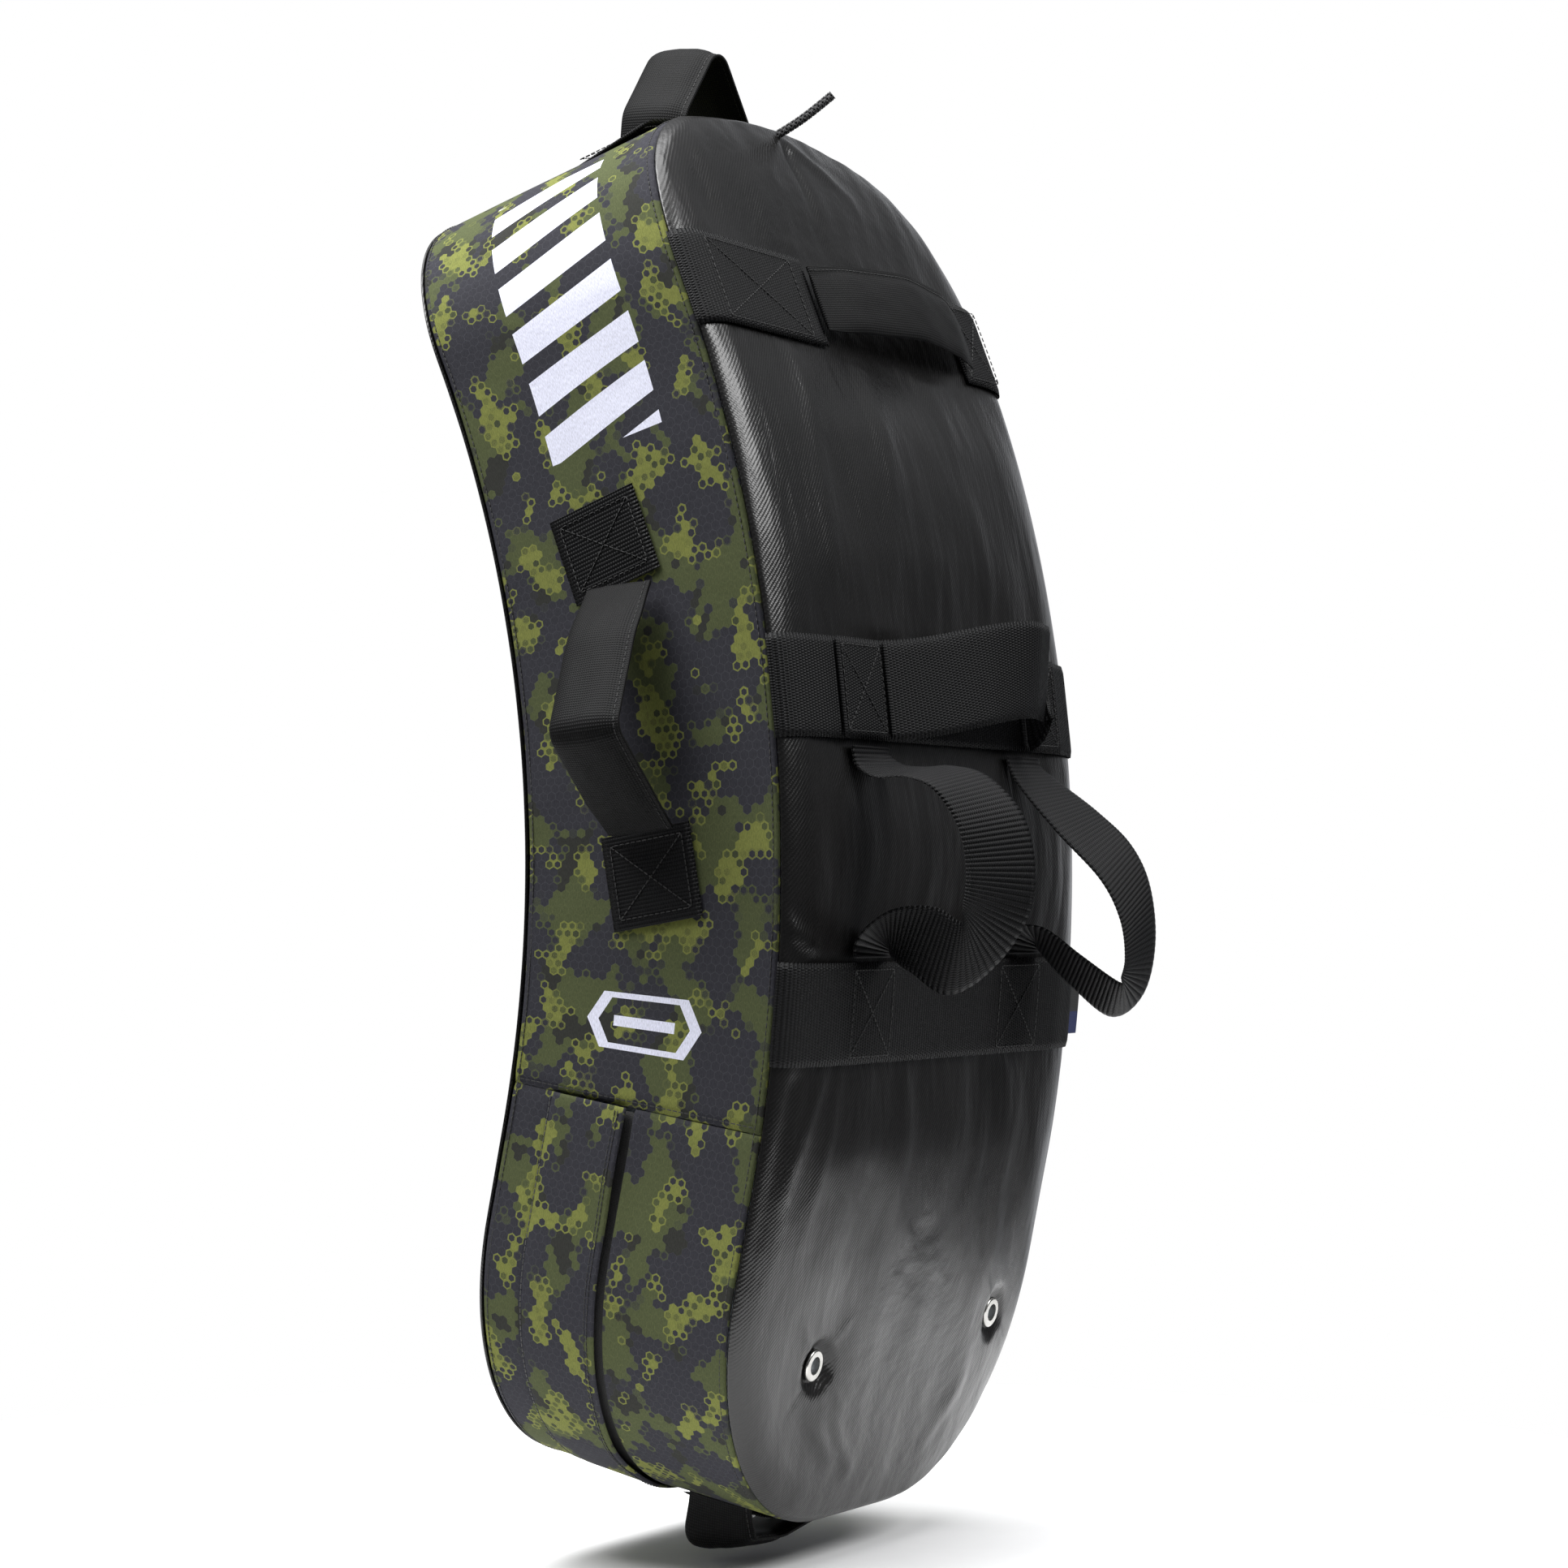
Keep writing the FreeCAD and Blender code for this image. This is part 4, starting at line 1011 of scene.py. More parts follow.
def zipper_tape(side):
    n_low, n_high = sorted((ZIP_N + side * 1.2, ZIP_N + side * ZIP_TAPE_OUT))
    patch = edge_band(SEAM_T + 2, RIM_LENGTH - SEAM_T - 2, n_low, n_high, lambda t, n: -1.9 + 0 * t)
    name = "front" if side < 0 else "rear"
    obj = piece("zip_tape_" + name, patch, [TAPE], ("zipper_tape_" + name,))
    return thicken(obj, 0.5)


def capsule(half_length, radius, rise, sides=6):
    """A thread-like bead along local x, lying rise above the surface."""
    turn = np.arange(sides) * 2 * math.pi / sides
    rings = []
    for share, size in ((-1.0, 0.45), (-0.72, 1.0), (0.72, 1.0), (1.0, 0.45)):
        x = np.full(sides, half_length * share)
        y = np.cos(turn) * radius * size
        rings.append(np.stack([x, y, np.sin(turn) * radius * size + rise], axis=1))
    return loft(np.stack(rings), np.stack(rings))


def scatter(template, origins, directions, normals, finish=0):
    """Copies of a template at the given places."""
    origins = np.asarray(origins, float).reshape(-1, 3)
    directions = unit(np.asarray(directions, float).reshape(-1, 3))
    normals = np.asarray(normals, float).reshape(-1, 3)
    sides = unit(np.cross(normals, directions))
    normals = np.cross(directions, sides)
    a, b, c = template.points.T
    points = (origins[:, None] + a[:, None] * directions[:, None] + b[:, None] * sides[:, None]
              + c[:, None] * normals[:, None])
    count, size = len(origins), len(template.points)
    faces = [tuple(index + k * size for index in face) for k in range(count) for face in template.faces]
    pattern = np.broadcast_to(template.points, points.shape)
    return Patch(points, faces, pattern, finish)


def zipper_coil(side):
    pitch = 1.6
    t = np.arange(SEAM_T + 7, RIM_LENGTH - SEAM_T - 7, pitch)
    n = ZIP_N + side * 2.1
    tooth = capsule(1.35, 0.55, 0.0)
    directions = unit(outward(rim(t)[1]) * side - 0.25 * (rim_place(t + 1, n) - rim_place(t, n)))
    name = "front" if side < 0 else "rear"
    patch = scatter(tooth, rim_place(t, np.full_like(t, n), -2.95), directions, rim_normal(t))
    return piece("zip_coil_" + name, patch, [COIL], ("zipper_coil_" + name,))


for SIDE in (-1, 1):
    zipper_tape(SIDE)
    zipper_coil(SIDE)


# ---- stitching -----------------------------------------------------------------------------------------

STITCH = capsule(1.25, STITCH_RADIUS, 0.12)


def stitches(lines, surface, finish=0):
    """Stitches along lines drawn on a surface, which gives points and normals for its own (u, v)."""
    origins, directions, normals = [], [], []
    for line in lines:
        spots, _ = resample(line, STITCH_PITCH)
        points, facing = surface(spots[:, 0], spots[:, 1])
        origins.append((points[1:] + points[:-1]) / 2)
        directions.append(points[1:] - points[:-1])
        normals.append((facing[1:] + facing[:-1]) / 2)
    return scatter(STITCH, *map(np.concatenate, (origins, directions, normals)), finish)


def cross_box(u_low, u_high, v_low, v_high):
    """The lines of a box stitched with a cross in it."""
    corners = [(u_low, v_low), (u_high, v_low), (u_high, v_high), (u_low, v_high)]
    return [corners + corners[:1], [corners[0], corners[2]], [corners[1], corners[3]]]


def back_surface(lift):
    def surface(x, s):
        return place(s, FACE_N + lift, x), outward(s)
    return surface


def edge_surface(lift):
    def surface(t, n):
        return rim_place(t, n, lift), rim_normal(t)
    return surface


def round_line(n, t_low, t_high, step=6.0):
    t = np.arange(t_low, t_high, step)
    return np.stack([t, np.full_like(t, n)], axis=1)


LOW_T, HIGH_T = SEAM_T + 2.0, RIM_LENGTH - SEAM_T - 2.0
edge_lines = [round_line(SEAM_N - 3.4, 0, RIM_LENGTH), round_line(-SEAM_N + 3.4, 0, RIM_LENGTH),
              round_line(ZIP_SLOT_REAR + 3.2, LOW_T, HIGH_T)]
for sign in (-1, 1):
    edge_lines.append([(sign * (SEAM_T - 3.0), -SEAM_N + 4), (sign * (SEAM_T - 3.0), SEAM_N - 4)])
flap_lines = [round_line(FLAP_SEAM_N + 1.2, LOW_T, FLAP_END_T)]
flap_hems = [round_line(FLAP_EDGE_N - inset, LOW_T, FLAP_END_T) for inset in (3.6, 5.4)]


def flap_surface(lift):
    def surface(t, n):
        return rim_place(t, n, flap_rise(t, n) + lift), rim_normal(t)
    return surface


piece("edge_stitching", stitches(edge_lines, edge_surface(-0.35)), [THREAD])
piece("flap_stitching",
      merge([stitches(flap_lines, flap_surface(0.1)), stitches(flap_hems, flap_surface(0.0), 1)]),
      [FLAP_THREAD, THREAD])


# ---- webbing -------------------------------------------------------------------------------------------

class Local:
    """A flat drawing plane: local x and y laid on two directions at an origin."""

    def __init__(self, origin, first, second):
        self.origin = np.asarray(origin, float)
        self.first = unit(np.asarray(first, float))
        self.second = unit(np.asarray(second, float))

    def points(self, flat):
        return self.origin + flat[:, :1] * self.first + flat[:, 1:] * self.second

    def normals(self, flat):
        """Directions at right angles to the line, on its left-hand side when it runs towards -x."""
        run = unit(np.gradient(flat, axis=0))
        return run[:, 1:] * self.first - run[:, :1] * self.second


def back_across(s):
    return Local(place(s, FACE_N), X_AXIS, outward(s))


def back_upright(x):
    return Local(place(0, FACE_N, x), along(0), outward(0))


def side_upright(side, s, n):
    return Local(place(s, n, side * HALF), along(s), X_AXIS * side)


def end_across(s, n, up, lean):
    angle = math.radians(lean)
    return Local(place(s, n), X_AXIS, along(s) * (up * math.cos(angle)) + outward(s) * math.sin(angle))


def sweep(path, normals, step, section, turn=None):
    """Carries a section along a path. The section gives its (side, up) points and its pattern."""
    table = np.concatenate([path, normals], axis=1)
    reach = np.concatenate([[0.0], np.cumsum(np.linalg.norm(np.diff(path, axis=0), axis=1))])
    count = max(3, int(round(reach[-1] / step)) + 1)
    distance = np.linspace(0, reach[-1], count)
    table = np.stack([np.interp(distance, reach, column) for column in table.T], axis=1)
    path, normals = table[:, :3], table[:, 3:]
    run = unit(np.gradient(path, axis=0))
    normals = unit(normals - run * (normals * run).sum(axis=1, keepdims=True))
    sides = np.cross(run, normals)
    if turn is not None:
        angle = np.radians(turn(distance / reach[-1]))[:, None]
        normals, sides = (normals * np.cos(angle) + sides * np.sin(angle),
                          sides * np.cos(angle) - normals * np.sin(angle))
    offsets, pattern = section(distance, reach[-1])
    rings = (path[:, None] + offsets[..., :1] * sides[:, None] + offsets[..., 1:] * normals[:, None])
    return rings, pattern


ACROSS = np.linspace(-1, 1, 15)
FLAT_EDGE = np.sqrt(1 - ACROSS ** 10)


def webbing_section(width, depth=RIB_DEPTH, pitch=RIB_PITCH):
    """The flat oval outline of a band of webbing, thinner in the grooves between its ribs."""
    def section(distance, length):
        rise = 1 - np.abs(np.sin(math.pi * distance / pitch)) ** 5
        half_width = (width / 2 - 0.3 * (1 - rise))[:, None]
        half_thick = (WEB_THICK / 2 - depth * (1 - rise))[:, None]
        side = np.concatenate([ACROSS * half_width, ACROSS[-2:0:-1] * half_width], axis=1)
        up = np.concatenate([FLAT_EDGE * half_thick, -FLAT_EDGE[-2:0:-1] * half_thick], axis=1)
        shape = side.shape
        pattern = np.stack([side, np.broadcast_to(distance[:, None], shape),
                            np.broadcast_to(rise[:, None], shape)], axis=-1)
        return np.stack([side, up], axis=-1), pattern
    return section


def webbing(path, normals, width=WEBBING, turn=None, finish=0, **options):
    rings, pattern = sweep(path, normals, RIB_PITCH / 6, webbing_section(width, **options), turn)
    return loft(rings, pattern, finish)


PAD_FOOT_THICK = 2.4


def padded_section(thickness, hem_side, seed):
    """A stuffed tube with a flat sewn hem along one edge, thinner towards its feet."""
    spread = np.sin(np.linspace(-math.pi / 2, math.pi / 2, 19))

    def section(distance, length):
        full = smooth(distance / 26.0) * smooth((length - distance) / 26.0)
        half_thick = (PAD_FOOT_THICK + (thickness - PAD_FOOT_THICK) * full)[:, None] / 2
        body = np.clip(1 - np.abs((spread - 0.09) / 0.91) ** 2.6, 0, 1) ** 0.5
        hem = np.where(spread < -0.78, 0.75, 0.3)
        half = np.maximum(half_thick * body, hem)
        uneven = 1 + 0.07 * ripple(distance[:, None], spread * PAD_WIDTH, 22.0, seed)
        half_width = (PAD_WIDTH / 2 * (0.94 + 0.06 * full))[:, None]
        side = hem_side * spread * half_width
        top, bottom = half * uneven, -half * uneven
        sides = np.concatenate([side, side[:, ::-1]], axis=1)
        ups = np.concatenate([top, bottom[:, ::-1]], axis=1)
        pattern = np.stack([sides, np.broadcast_to(distance[:, None], sides.shape), ups * 0 + 1], axis=-1)
        return np.stack([sides, ups], axis=-1), pattern
    return section


def hem_stitches(line, normals):
    """A row of stitches along a line on a handle, facing the way its normals do."""
    line, _ = resample(line, STITCH_PITCH)
    share, shares = np.linspace(0, 1, len(line)), np.linspace(0, 1, len(normals))
    face = np.stack([np.interp(share, shares, column) for column in normals.T], axis=1)
    return scatter(STITCH, (line[1:] + line[:-1]) / 2, line[1:] - line[:-1], (face[1:] + face[:-1]) / 2, 1)


def padded_handle(name, corners, radii, local, thickness, hem_side, seed, turn=None):
    """One padded handle, bent along a rounded path between its feet on the body, with a row of stitches
    along each edge.
    """
    flat, _ = resample(rounded(corners, radii), 1.0)
    path, normals = local.points(flat), local.normals(flat)
    rings, pattern = sweep(path, normals, 1.6, padded_section(thickness, hem_side, seed), turn)
    patches = [loft(rings, pattern)]
    patches += [hem_stitches(rings[:, 3], normals), hem_stitches(rings[:, -4], -normals)]
    obj = piece(name + "_padding", merge(patches), [MESH, THREAD], (name, name + "_ends", name + "_core"),
                body=None)
    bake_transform(obj)
    return obj


FOREARM_PATH = ((73, 6.6), (42, 17), (2, 29), (-42, 35.5), (-76, 27), (-88, 6.6))
UPPER_PATH = ((50, 5.2), (20, 12), (-34, 19.5), (-88, 13), (-118, 5.2))
SIDE_PATH = ((62, 6.4), (36, 28), (-10, 53), (-43, 22), (-57, 6.4))
TOP_PATH = ((60, -6), (57, 18), (27, 59), (-12, 19), (-60, -6))
BOTTOM_PATH = ((72, -6), (64, 17), (30, 20), (-20, 12), (-66, -5))
FOREARM_BENDS, UPPER_BENDS, SIDE_BENDS = (60, 90, 60, 12), (70, 90, 70), (60, 9, 40)
TOP_BENDS, BOTTOM_BENDS = (18, 12, 30), (10, 50, 60)
SIDE_HANDLE_S, SIDE_HANDLE_N = 67, -4
TOP_FOOT_S, TOP_LEAN = 364.5, 30.0


def bottom_turn(share):
    """How the bottom handle rolls towards the rear between its feet, in degrees."""
    return -18.0 * smooth(share / 0.2) * smooth((1 - share) / 0.4)


padded_handle("upper_handle", UPPER_PATH, UPPER_BENDS, back_across(STRAP_UPPER),
              UPPER_PAD_THICK, 1, 41)
for SIDE, NAME, SEED in ((1, "side_handle_left", 42), (-1, "side_handle_right", 43)):
    padded_handle(NAME, SIDE_PATH, SIDE_BENDS, side_upright(SIDE, SIDE_HANDLE_S, SIDE_HANDLE_N),
                  PAD_THICK, 1, SEED)
padded_handle("top_handle", TOP_PATH, TOP_BENDS, end_across(TOP_FOOT_S, END_HANDLE_N, 1, TOP_LEAN),
              PAD_THICK, -1, 44)
padded_handle("bottom_handle", BOTTOM_PATH, BOTTOM_BENDS, end_across(BOTTOM, END_HANDLE_N, -1, 0.0),
              PAD_THICK, 1, 45, bottom_turn)


GRIP_HIGH_END, GRIP_LOW_END = 51.0, -52.0

# Both edges of each grip, from the forearm strap down to the lower strap: the +X edge, then the -X edge.
NEAR_GRIP = (
    ((109, 1.1, 51), (67, 1.1, 51)),
    ((109, 1.4, 46), (67, 2, 47)),
    ((109, 4, 40), (68, 11, 42)),
    ((108, 13, 35), (69, 24, 41)),
    ((108, 29, 35), (70, 37, 41)),
    ((107, 45, 29), (71, 54, 36)),
    ((105, 57, 12), (71, 72, 18)),
    ((105, 60, -6), (69, 79, -4)),
    ((105, 60, -21), (70, 77, -29)),
    ((105, 59, -32), (76, 62, -53)),
    ((104, 56, -37), (90, 43, -68)),
    ((107, 44, -29), (92, 24, -58)),
    ((109, 24, -29), (82, 8, -51)),
    ((109, 8, -37), (70, 1.8, -48)),
    ((109, 1.4, -45), (67, 1.3, -50)),
    ((109, 1.1, -52), (67, 1.1, -52)),
)
FAR_GRIP = (
    ((-67, 1.1, 51), (-109, 1.1, 51)),
    ((-67, 3, 45), (-109, 3, 46)),
    ((-67, 9, 34), (-109, 15, 37)),
    ((-67, 29, 11), (-108, 36, 22)),
    ((-67, 53, -14), (-107, 55, 5)),
    ((-68, 64, -35), (-107, 65, -16)),
    ((-69, 67, -54), (-107, 67, -46)),
    ((-72, 64, -65), (-105, 60, -73)),
    ((-75, 60, -68), (-102, 44, -84)),
    ((-71, 41, -53), (-102, 20, -68)),
    ((-67, 22, -39), (-99, 4, -50)),
    ((-67, 6, -38), (-106, 1.8, -48)),
    ((-67, 1.4, -46), (-109, 1.3, -50)),
    ((-67, 1.1, -52), (-109, 1.1, -52)),
)


def through(points, step):
    """A smooth curve through the given points."""
    points = np.asarray(points, float)
    padded = np.concatenate([2 * points[:1] - points[1:2], points, 2 * points[-1:] - points[-2:-1]])
    result = []
    for a, b, c, d in zip(padded, padded[1:], padded[2:], padded[3:]):
        u = np.linspace(0, 1, 24, endpoint=False)[:, None]
        result.append(0.5 * (2 * b + (c - a) * u + (2 * a - 5 * b + 4 * c - d) * u ** 2
                             + (3 * b - a - 3 * c + d) * u ** 3))
    return resample(np.concatenate(result + [points[-1:]]), step)[0]


def grip(name, edges):
    """A pulled and twisted webbing loop, drawn by its two edges."""
    both = through([near + far for near, far in edges], RIB_PITCH / 6 * math.sqrt(2))
    near, far = both[:, :3], both[:, 3:]
    middle = (near + far) / 2
    sides = unit(far - near)
    run = unit(np.gradient(middle, axis=0))
    normals = unit(np.cross(sides, run))
    distance = np.concatenate([[0], np.cumsum(np.linalg.norm(np.diff(middle, axis=0), axis=1))])
    offsets, pattern = webbing_section(GRIP_WEBBING)(distance, distance[-1])
    rings = middle[:, None] + offsets[..., :1] * sides[:, None] + offsets[..., 1:] * normals[:, None]
    obj = piece(name + "_web", loft(rings, pattern), [NYLON], (name, name + "_ends"), body=None)
    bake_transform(obj)
    return obj


grip("grip_left", NEAR_GRIP)
grip("grip_right", FAR_GRIP)


def forearm_sway(share):
    """How far the middle of the forearm loop stands above the line of its feet."""
    return 12.0 * smooth(share / 0.7) * smooth((1.0 - share) / 0.14)


def forearm_tilt(share):
    return 9.0 * smooth((share - 0.3) / 0.4) * smooth((1.0 - share) / 0.1)


def forearm_loop():
    """The loop for the forearm, drawn up on its way across."""
    flat, _ = resample(rounded(FOREARM_PATH, FOREARM_BENDS), 0.5)
    local = back_across(STRAP_FOREARM)
    share = np.linspace(0, 1, len(flat))
    path = local.points(flat) + along(STRAP_FOREARM) * forearm_sway(share)[:, None]
    patch = webbing(path, local.normals(flat), WEBBING, forearm_tilt)
    obj = piece("forearm_loop_web", patch, [NYLON], ("forearm_loop", "forearm_loop_ends"), body=None)
    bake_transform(obj)


forearm_loop()


# ---- sewn webbing --------------------------------------------------------------------------------------

def strap_path(s, lift, x_from, x_to):
    """The part between two x of a strap that lies over the back and is sewn into both of its seams."""
    x = np.linspace(HALF + 0.6, -HALF - 0.6, 700)
    depth = HALF - np.abs(x)
    rise = GAP + (lift - GAP) * smooth((depth - 14.0) / 26.0)
    y = roll_height(x, depth, 1) - (FACE_N - SEAM_N) + rise + WEB_THICK / 2
    ends = [(HALF + 1.0, -7.6), (-HALF - 1.0, -7.6)]
    flat = np.concatenate([ends[:1], np.stack([x, y], axis=1), ends[1:]])
    flat, _ = resample(flat, 0.5)
    for _ in range(6):
        flat[1:-1] = (flat[:-2] + flat[1:-1] * 2 + flat[2:]) / 4
    flat = flat[(flat[:, 0] <= x_from) & (flat[:, 0] >= x_to)]
    local = back_across(s)
    return local.points(flat), local.normals(flat)


def strap(s, lift, x_from, x_to):
    return webbing(*strap_path(s, lift, x_from, x_to))


def flat_web(x_from, x_to, s, lift):
    """Webbing laid flat across the back."""
    flat = np.array([(x_from, lift + WEB_THICK / 2), (x_to, lift + WEB_THICK / 2)], float)
    local = back_across(s)
    return webbing(local.points(flat), local.normals(flat))


def upright_web(x, s_from, s_to, lift, width):
    """Webbing laid flat up the back, following its bend."""
    s = np.linspace(s_from, s_to, 60)
    return webbing(place(s, FACE_N + lift + WEB_THICK / 2, x), outward(s), width)


def sewn(name, webs, boxes, nodes, lift):
    """Webbing sewn to the back with crossed boxes."""
    lines = [line for box in boxes for line in cross_box(*box)]
    patches = list(webs)
    if lines:
        patches.append(stitches(lines, back_surface(lift + 0.05), 1))
    return piece(name, merge(patches), [NYLON, THREAD], nodes)


FULL = HALF + 5.0
OVER = 2 * GAP + WEB_THICK
THIRD = OVER + WEB_THICK + GAP

BOX_HALF_HEIGHT = 19
UPPER_TAB_ENDS = (47.0, -115.0)
FOREARM_FEET = ((120, 70), (-86, -132))
GRIP_X = 88


def strap_box(s, x_low, x_high):
    """Where a crossed box is stitched on a strap."""
    return x_low, x_high, s - BOX_HALF_HEIGHT, s + BOX_HALF_HEIGHT


sewn("upper_handle_straps",
     [strap(STRAP_UPPER, GAP, FULL, UPPER_TAB_ENDS[0]), strap(STRAP_UPPER, GAP, UPPER_TAB_ENDS[1], -FULL)],
     [strap_box(STRAP_UPPER, 62, 148), strap_box(STRAP_UPPER, -154, -120)],
     ("upper_handle_tabs",), GAP + WEB_THICK)
sewn("forearm_cross_strap", [strap(STRAP_FOREARM, OVER, FULL, -FULL)], [],
     ("forearm_strap",), OVER + WEB_THICK)
sewn("forearm_loop_feet",
     [flat_web(*reach, STRAP_FOREARM, THIRD) for reach in FOREARM_FEET],
     [strap_box(STRAP_FOREARM, 75, 116), strap_box(STRAP_FOREARM, -128, -90)],
     ("forearm_loop_tabs",), THIRD + WEB_THICK)
sewn("lower_cross_strap", [strap(STRAP_LOWER, OVER, FULL, -FULL)],
     [strap_box(STRAP_LOWER, 66, 108), strap_box(STRAP_LOWER, -105, -58)],
     ("lower_strap",), OVER + WEB_THICK)
for X, NAME in ((GRIP_X, "grip_left"), (-GRIP_X, "grip_right")):
    sewn(NAME + "_ends_sewn",
         [upright_web(X, STRAP_LOWER - 20, GRIP_LOW_END, GAP, GRIP_WEBBING),
          upright_web(X, GRIP_HIGH_END, STRAP_FOREARM + 20, GAP, GRIP_WEBBING)], [], (NAME + "_tails",), GAP)

SIDE_TABS = ((152.0, -8.0, 44.0, 8.0), (-12.0, 1.0, 46.0, 10.0))


def side_tab(side, s, n, length, skew):
    """A square sewn end on the side of the body, stitched with a crossed box."""
    angle = math.radians(skew)
    up = along(s) * math.cos(angle) - outward(s) * math.sin(angle)
    level = outward(s) * math.cos(angle) + along(s) * math.sin(angle)
    centre = place(s, n, side * (HALF + GAP + WEB_THICK / 2))

    def surface(u, v):
        points = centre + u[:, None] * level + v[:, None] * up + X_AXIS * side * (WEB_THICK / 2 + 0.05)
        return points, np.broadcast_to(X_AXIS * side, points.shape)

    v = np.linspace(length / 2, -length / 2, 80)
    path = centre + v[:, None] * up
    normals = np.broadcast_to(X_AXIS * side, path.shape)
    web = webbing(path, normals, WEBBING, pitch=1.9, depth=0.3)
    box = cross_box(-WEBBING / 2 + 5, WEBBING / 2 - 5, -length / 2 + 5, length / 2 - 5)
    return [web, stitches(box, surface, 1)]


for SIDE, NAME in ((1, "side_handle_left_tabs"), (-1, "side_handle_right_tabs")):
    tabs = [patch for tab in SIDE_TABS for patch in side_tab(SIDE, *tab)]
    piece(NAME.replace("tabs", "ends_sewn"), merge(tabs), [NYLON, THREAD], (NAME,))


def end_tabs(name, node, x_near, x_far, at_top):
    """The sewn ends of the top or bottom handle, following the edge of the body."""
    half = len(OUTLINE) // 2
    chosen = OUTLINE[:half, 1] > 0 if at_top else OUTLINE[:half, 1] < 0
    x, reach = OUTLINE[:half, 0][chosen], OUTLINE_T[:half][chosen]
    order = np.argsort(x)
    t_near, t_far = np.interp([x_near, x_far], x[order], reach[order])
    patches = []
    for side in (-1, 1):
        t = side * np.linspace(t_near, t_far, 80)
        lift = GAP + WEB_THICK / 2
        patches.append(webbing(rim_place(t, END_HANDLE_N, lift), rim_normal(t)))
        low, high = sorted((t[0], t[-1]))
        box = cross_box(low + 5, high - 5, END_HANDLE_N - 20, END_HANDLE_N + 20)
        patches.append(stitches(box, edge_surface(GAP + WEB_THICK + 0.05), 1))
    return piece(name, merge(patches), [NYLON, THREAD], (node,))


end_tabs("top_handle_ends_sewn", "top_handle_tabs", 62.0, 106.0, True)
end_tabs("bottom_handle_ends_sewn", "bottom_handle_tabs", 26.0, 66.0, False)


# ---- label, cord and metal -----------------------------------------------------------------------------

def label():
    """A folded woven label in the rear seam, bending at the seam's edge."""
    reach = np.concatenate([np.linspace(-0.2, -18.4, 26), [-18.6]])
    up = np.linspace(-14.0, 14.0, 29)
    thick = 0.4 * np.clip((reach + 18.6) / 0.5, 0.2, 1)
    rows = []
    for side in (1, -1):
        for v in up if side > 0 else up[::-1]:
            curl = 0.5 * np.sin(reach / 6.0) * (v / 14.0)
            spot = place(LABEL_S + v, SEAM_N + side * thick + curl * 0.4, -HALF + reach)
            rows.append(spot)
    rings = np.stack(rows, axis=1)
    across = np.concatenate([up, up[::-1]])
    pattern = np.stack(np.broadcast_arrays(reach[:, None], across[None], np.zeros((len(reach), 1))), axis=-1)
    obj = piece("label_fold", loft(rings, pattern), [LABEL], ("label_root", "label_tag"), body=None)
    y, z = place(LABEL_S, SEAM_N)[1:]
    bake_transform(obj)
    return obj


label()

CORD_RADIUS = 2.25
CORD_ROUTE = ((8.0, -90.6, 374.2), (7.2, -80.8, 378.8), (5.0, -70.8, 385.4), (2.0, -61.2, 393.2))


STRANDS = 8
STRAND_TWIST = 0.55          # radians per millimetre
STRAND_HALF_WIDTH, STRAND_HALF_THICK = 0.95, 0.45


def tube(path, first, second, half_width, half_thick, sides, distance):
    """An oval tube along a path, between two directions at right angles to it."""
    turned = np.arange(sides) * 2 * math.pi / sides
    rings = (path[:, None] + first[:, None] * (np.cos(turned) * half_width)[None, :, None]
             + second[:, None] * (np.sin(turned) * half_thick)[None, :, None])
    flat = np.broadcast_arrays(turned[None, :], distance[:, None], np.zeros((1, sides)))
    return loft(rings, np.stack(flat, axis=-1))


def cord():
    """The stiff end of a braided drawcord: eight strands round a smooth line."""
    curve = bpy.data.curves.new("cord_line", "CURVE")
    curve.dimensions = "3D"
    curve.resolution_u = 16
    spline = curve.splines.new("NURBS")
    spline.points.add(len(CORD_ROUTE) - 1)
    for point, spot in zip(spline.points, CORD_ROUTE):
        point.co = (spot[0] / 1000, spot[1] / 1000, spot[2] / 1000, 1.0)
    spline.order_u = 3
    spline.use_endpoint_u = True
    holder = bpy.data.objects.new("cord_line", curve)
    line_mesh = bpy.data.meshes.new_from_object(holder)
    line = mesh_points(line_mesh)
    bpy.data.objects.remove(holder)
    path, distance = resample(line, 0.5)
    run = unit(np.gradient(path, axis=0))
    first = unit(np.cross(run, X_AXIS))
    second = np.cross(run, first)
    patches = []
    for k in range(STRANDS):
        way = 1 if k % 2 else -1
        turn = way * distance * STRAND_TWIST + (k // 2) * math.pi / 2 + (way > 0) * math.pi / 4
        weave = np.cos(2 * (distance * STRAND_TWIST * 2 + (k // 2) * math.pi)) * way
        radius = CORD_RADIUS * (0.80 + 0.10 * weave)
        centre = path + first * (np.cos(turn) * radius)[:, None] + second * (np.sin(turn) * radius)[:, None]
        outwards = unit(centre - path)
        side = unit(np.cross(run, outwards))
        patches.append(tube(centre, side, outwards, STRAND_HALF_WIDTH, STRAND_HALF_THICK, 8, distance))
    inner = CORD_RADIUS * 0.72
    patches.append(tube(path, first, second, inner, inner, 12, distance))
    obj = piece("cord_braid", merge(patches), [BRAID], ("cord_end",))
    return obj


cord()


def recolour(node, material):
    """Gives a carried-over CAD node its finish."""
    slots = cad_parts[node].material_slots
    if not len(slots):
        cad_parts[node].data.materials.append(material)
    for material_slot in slots:
        material_slot.material = material


for NODE in ("eyelets", "eyelet_washers"):
    recolour(NODE, NICKEL)
for NODE in ("zipper_slider", "zipper_pull", "zipper_stops"):
    recolour(NODE, BLACK_METAL)


# ---- floor, light and camera ---------------------------------------------------------------------------

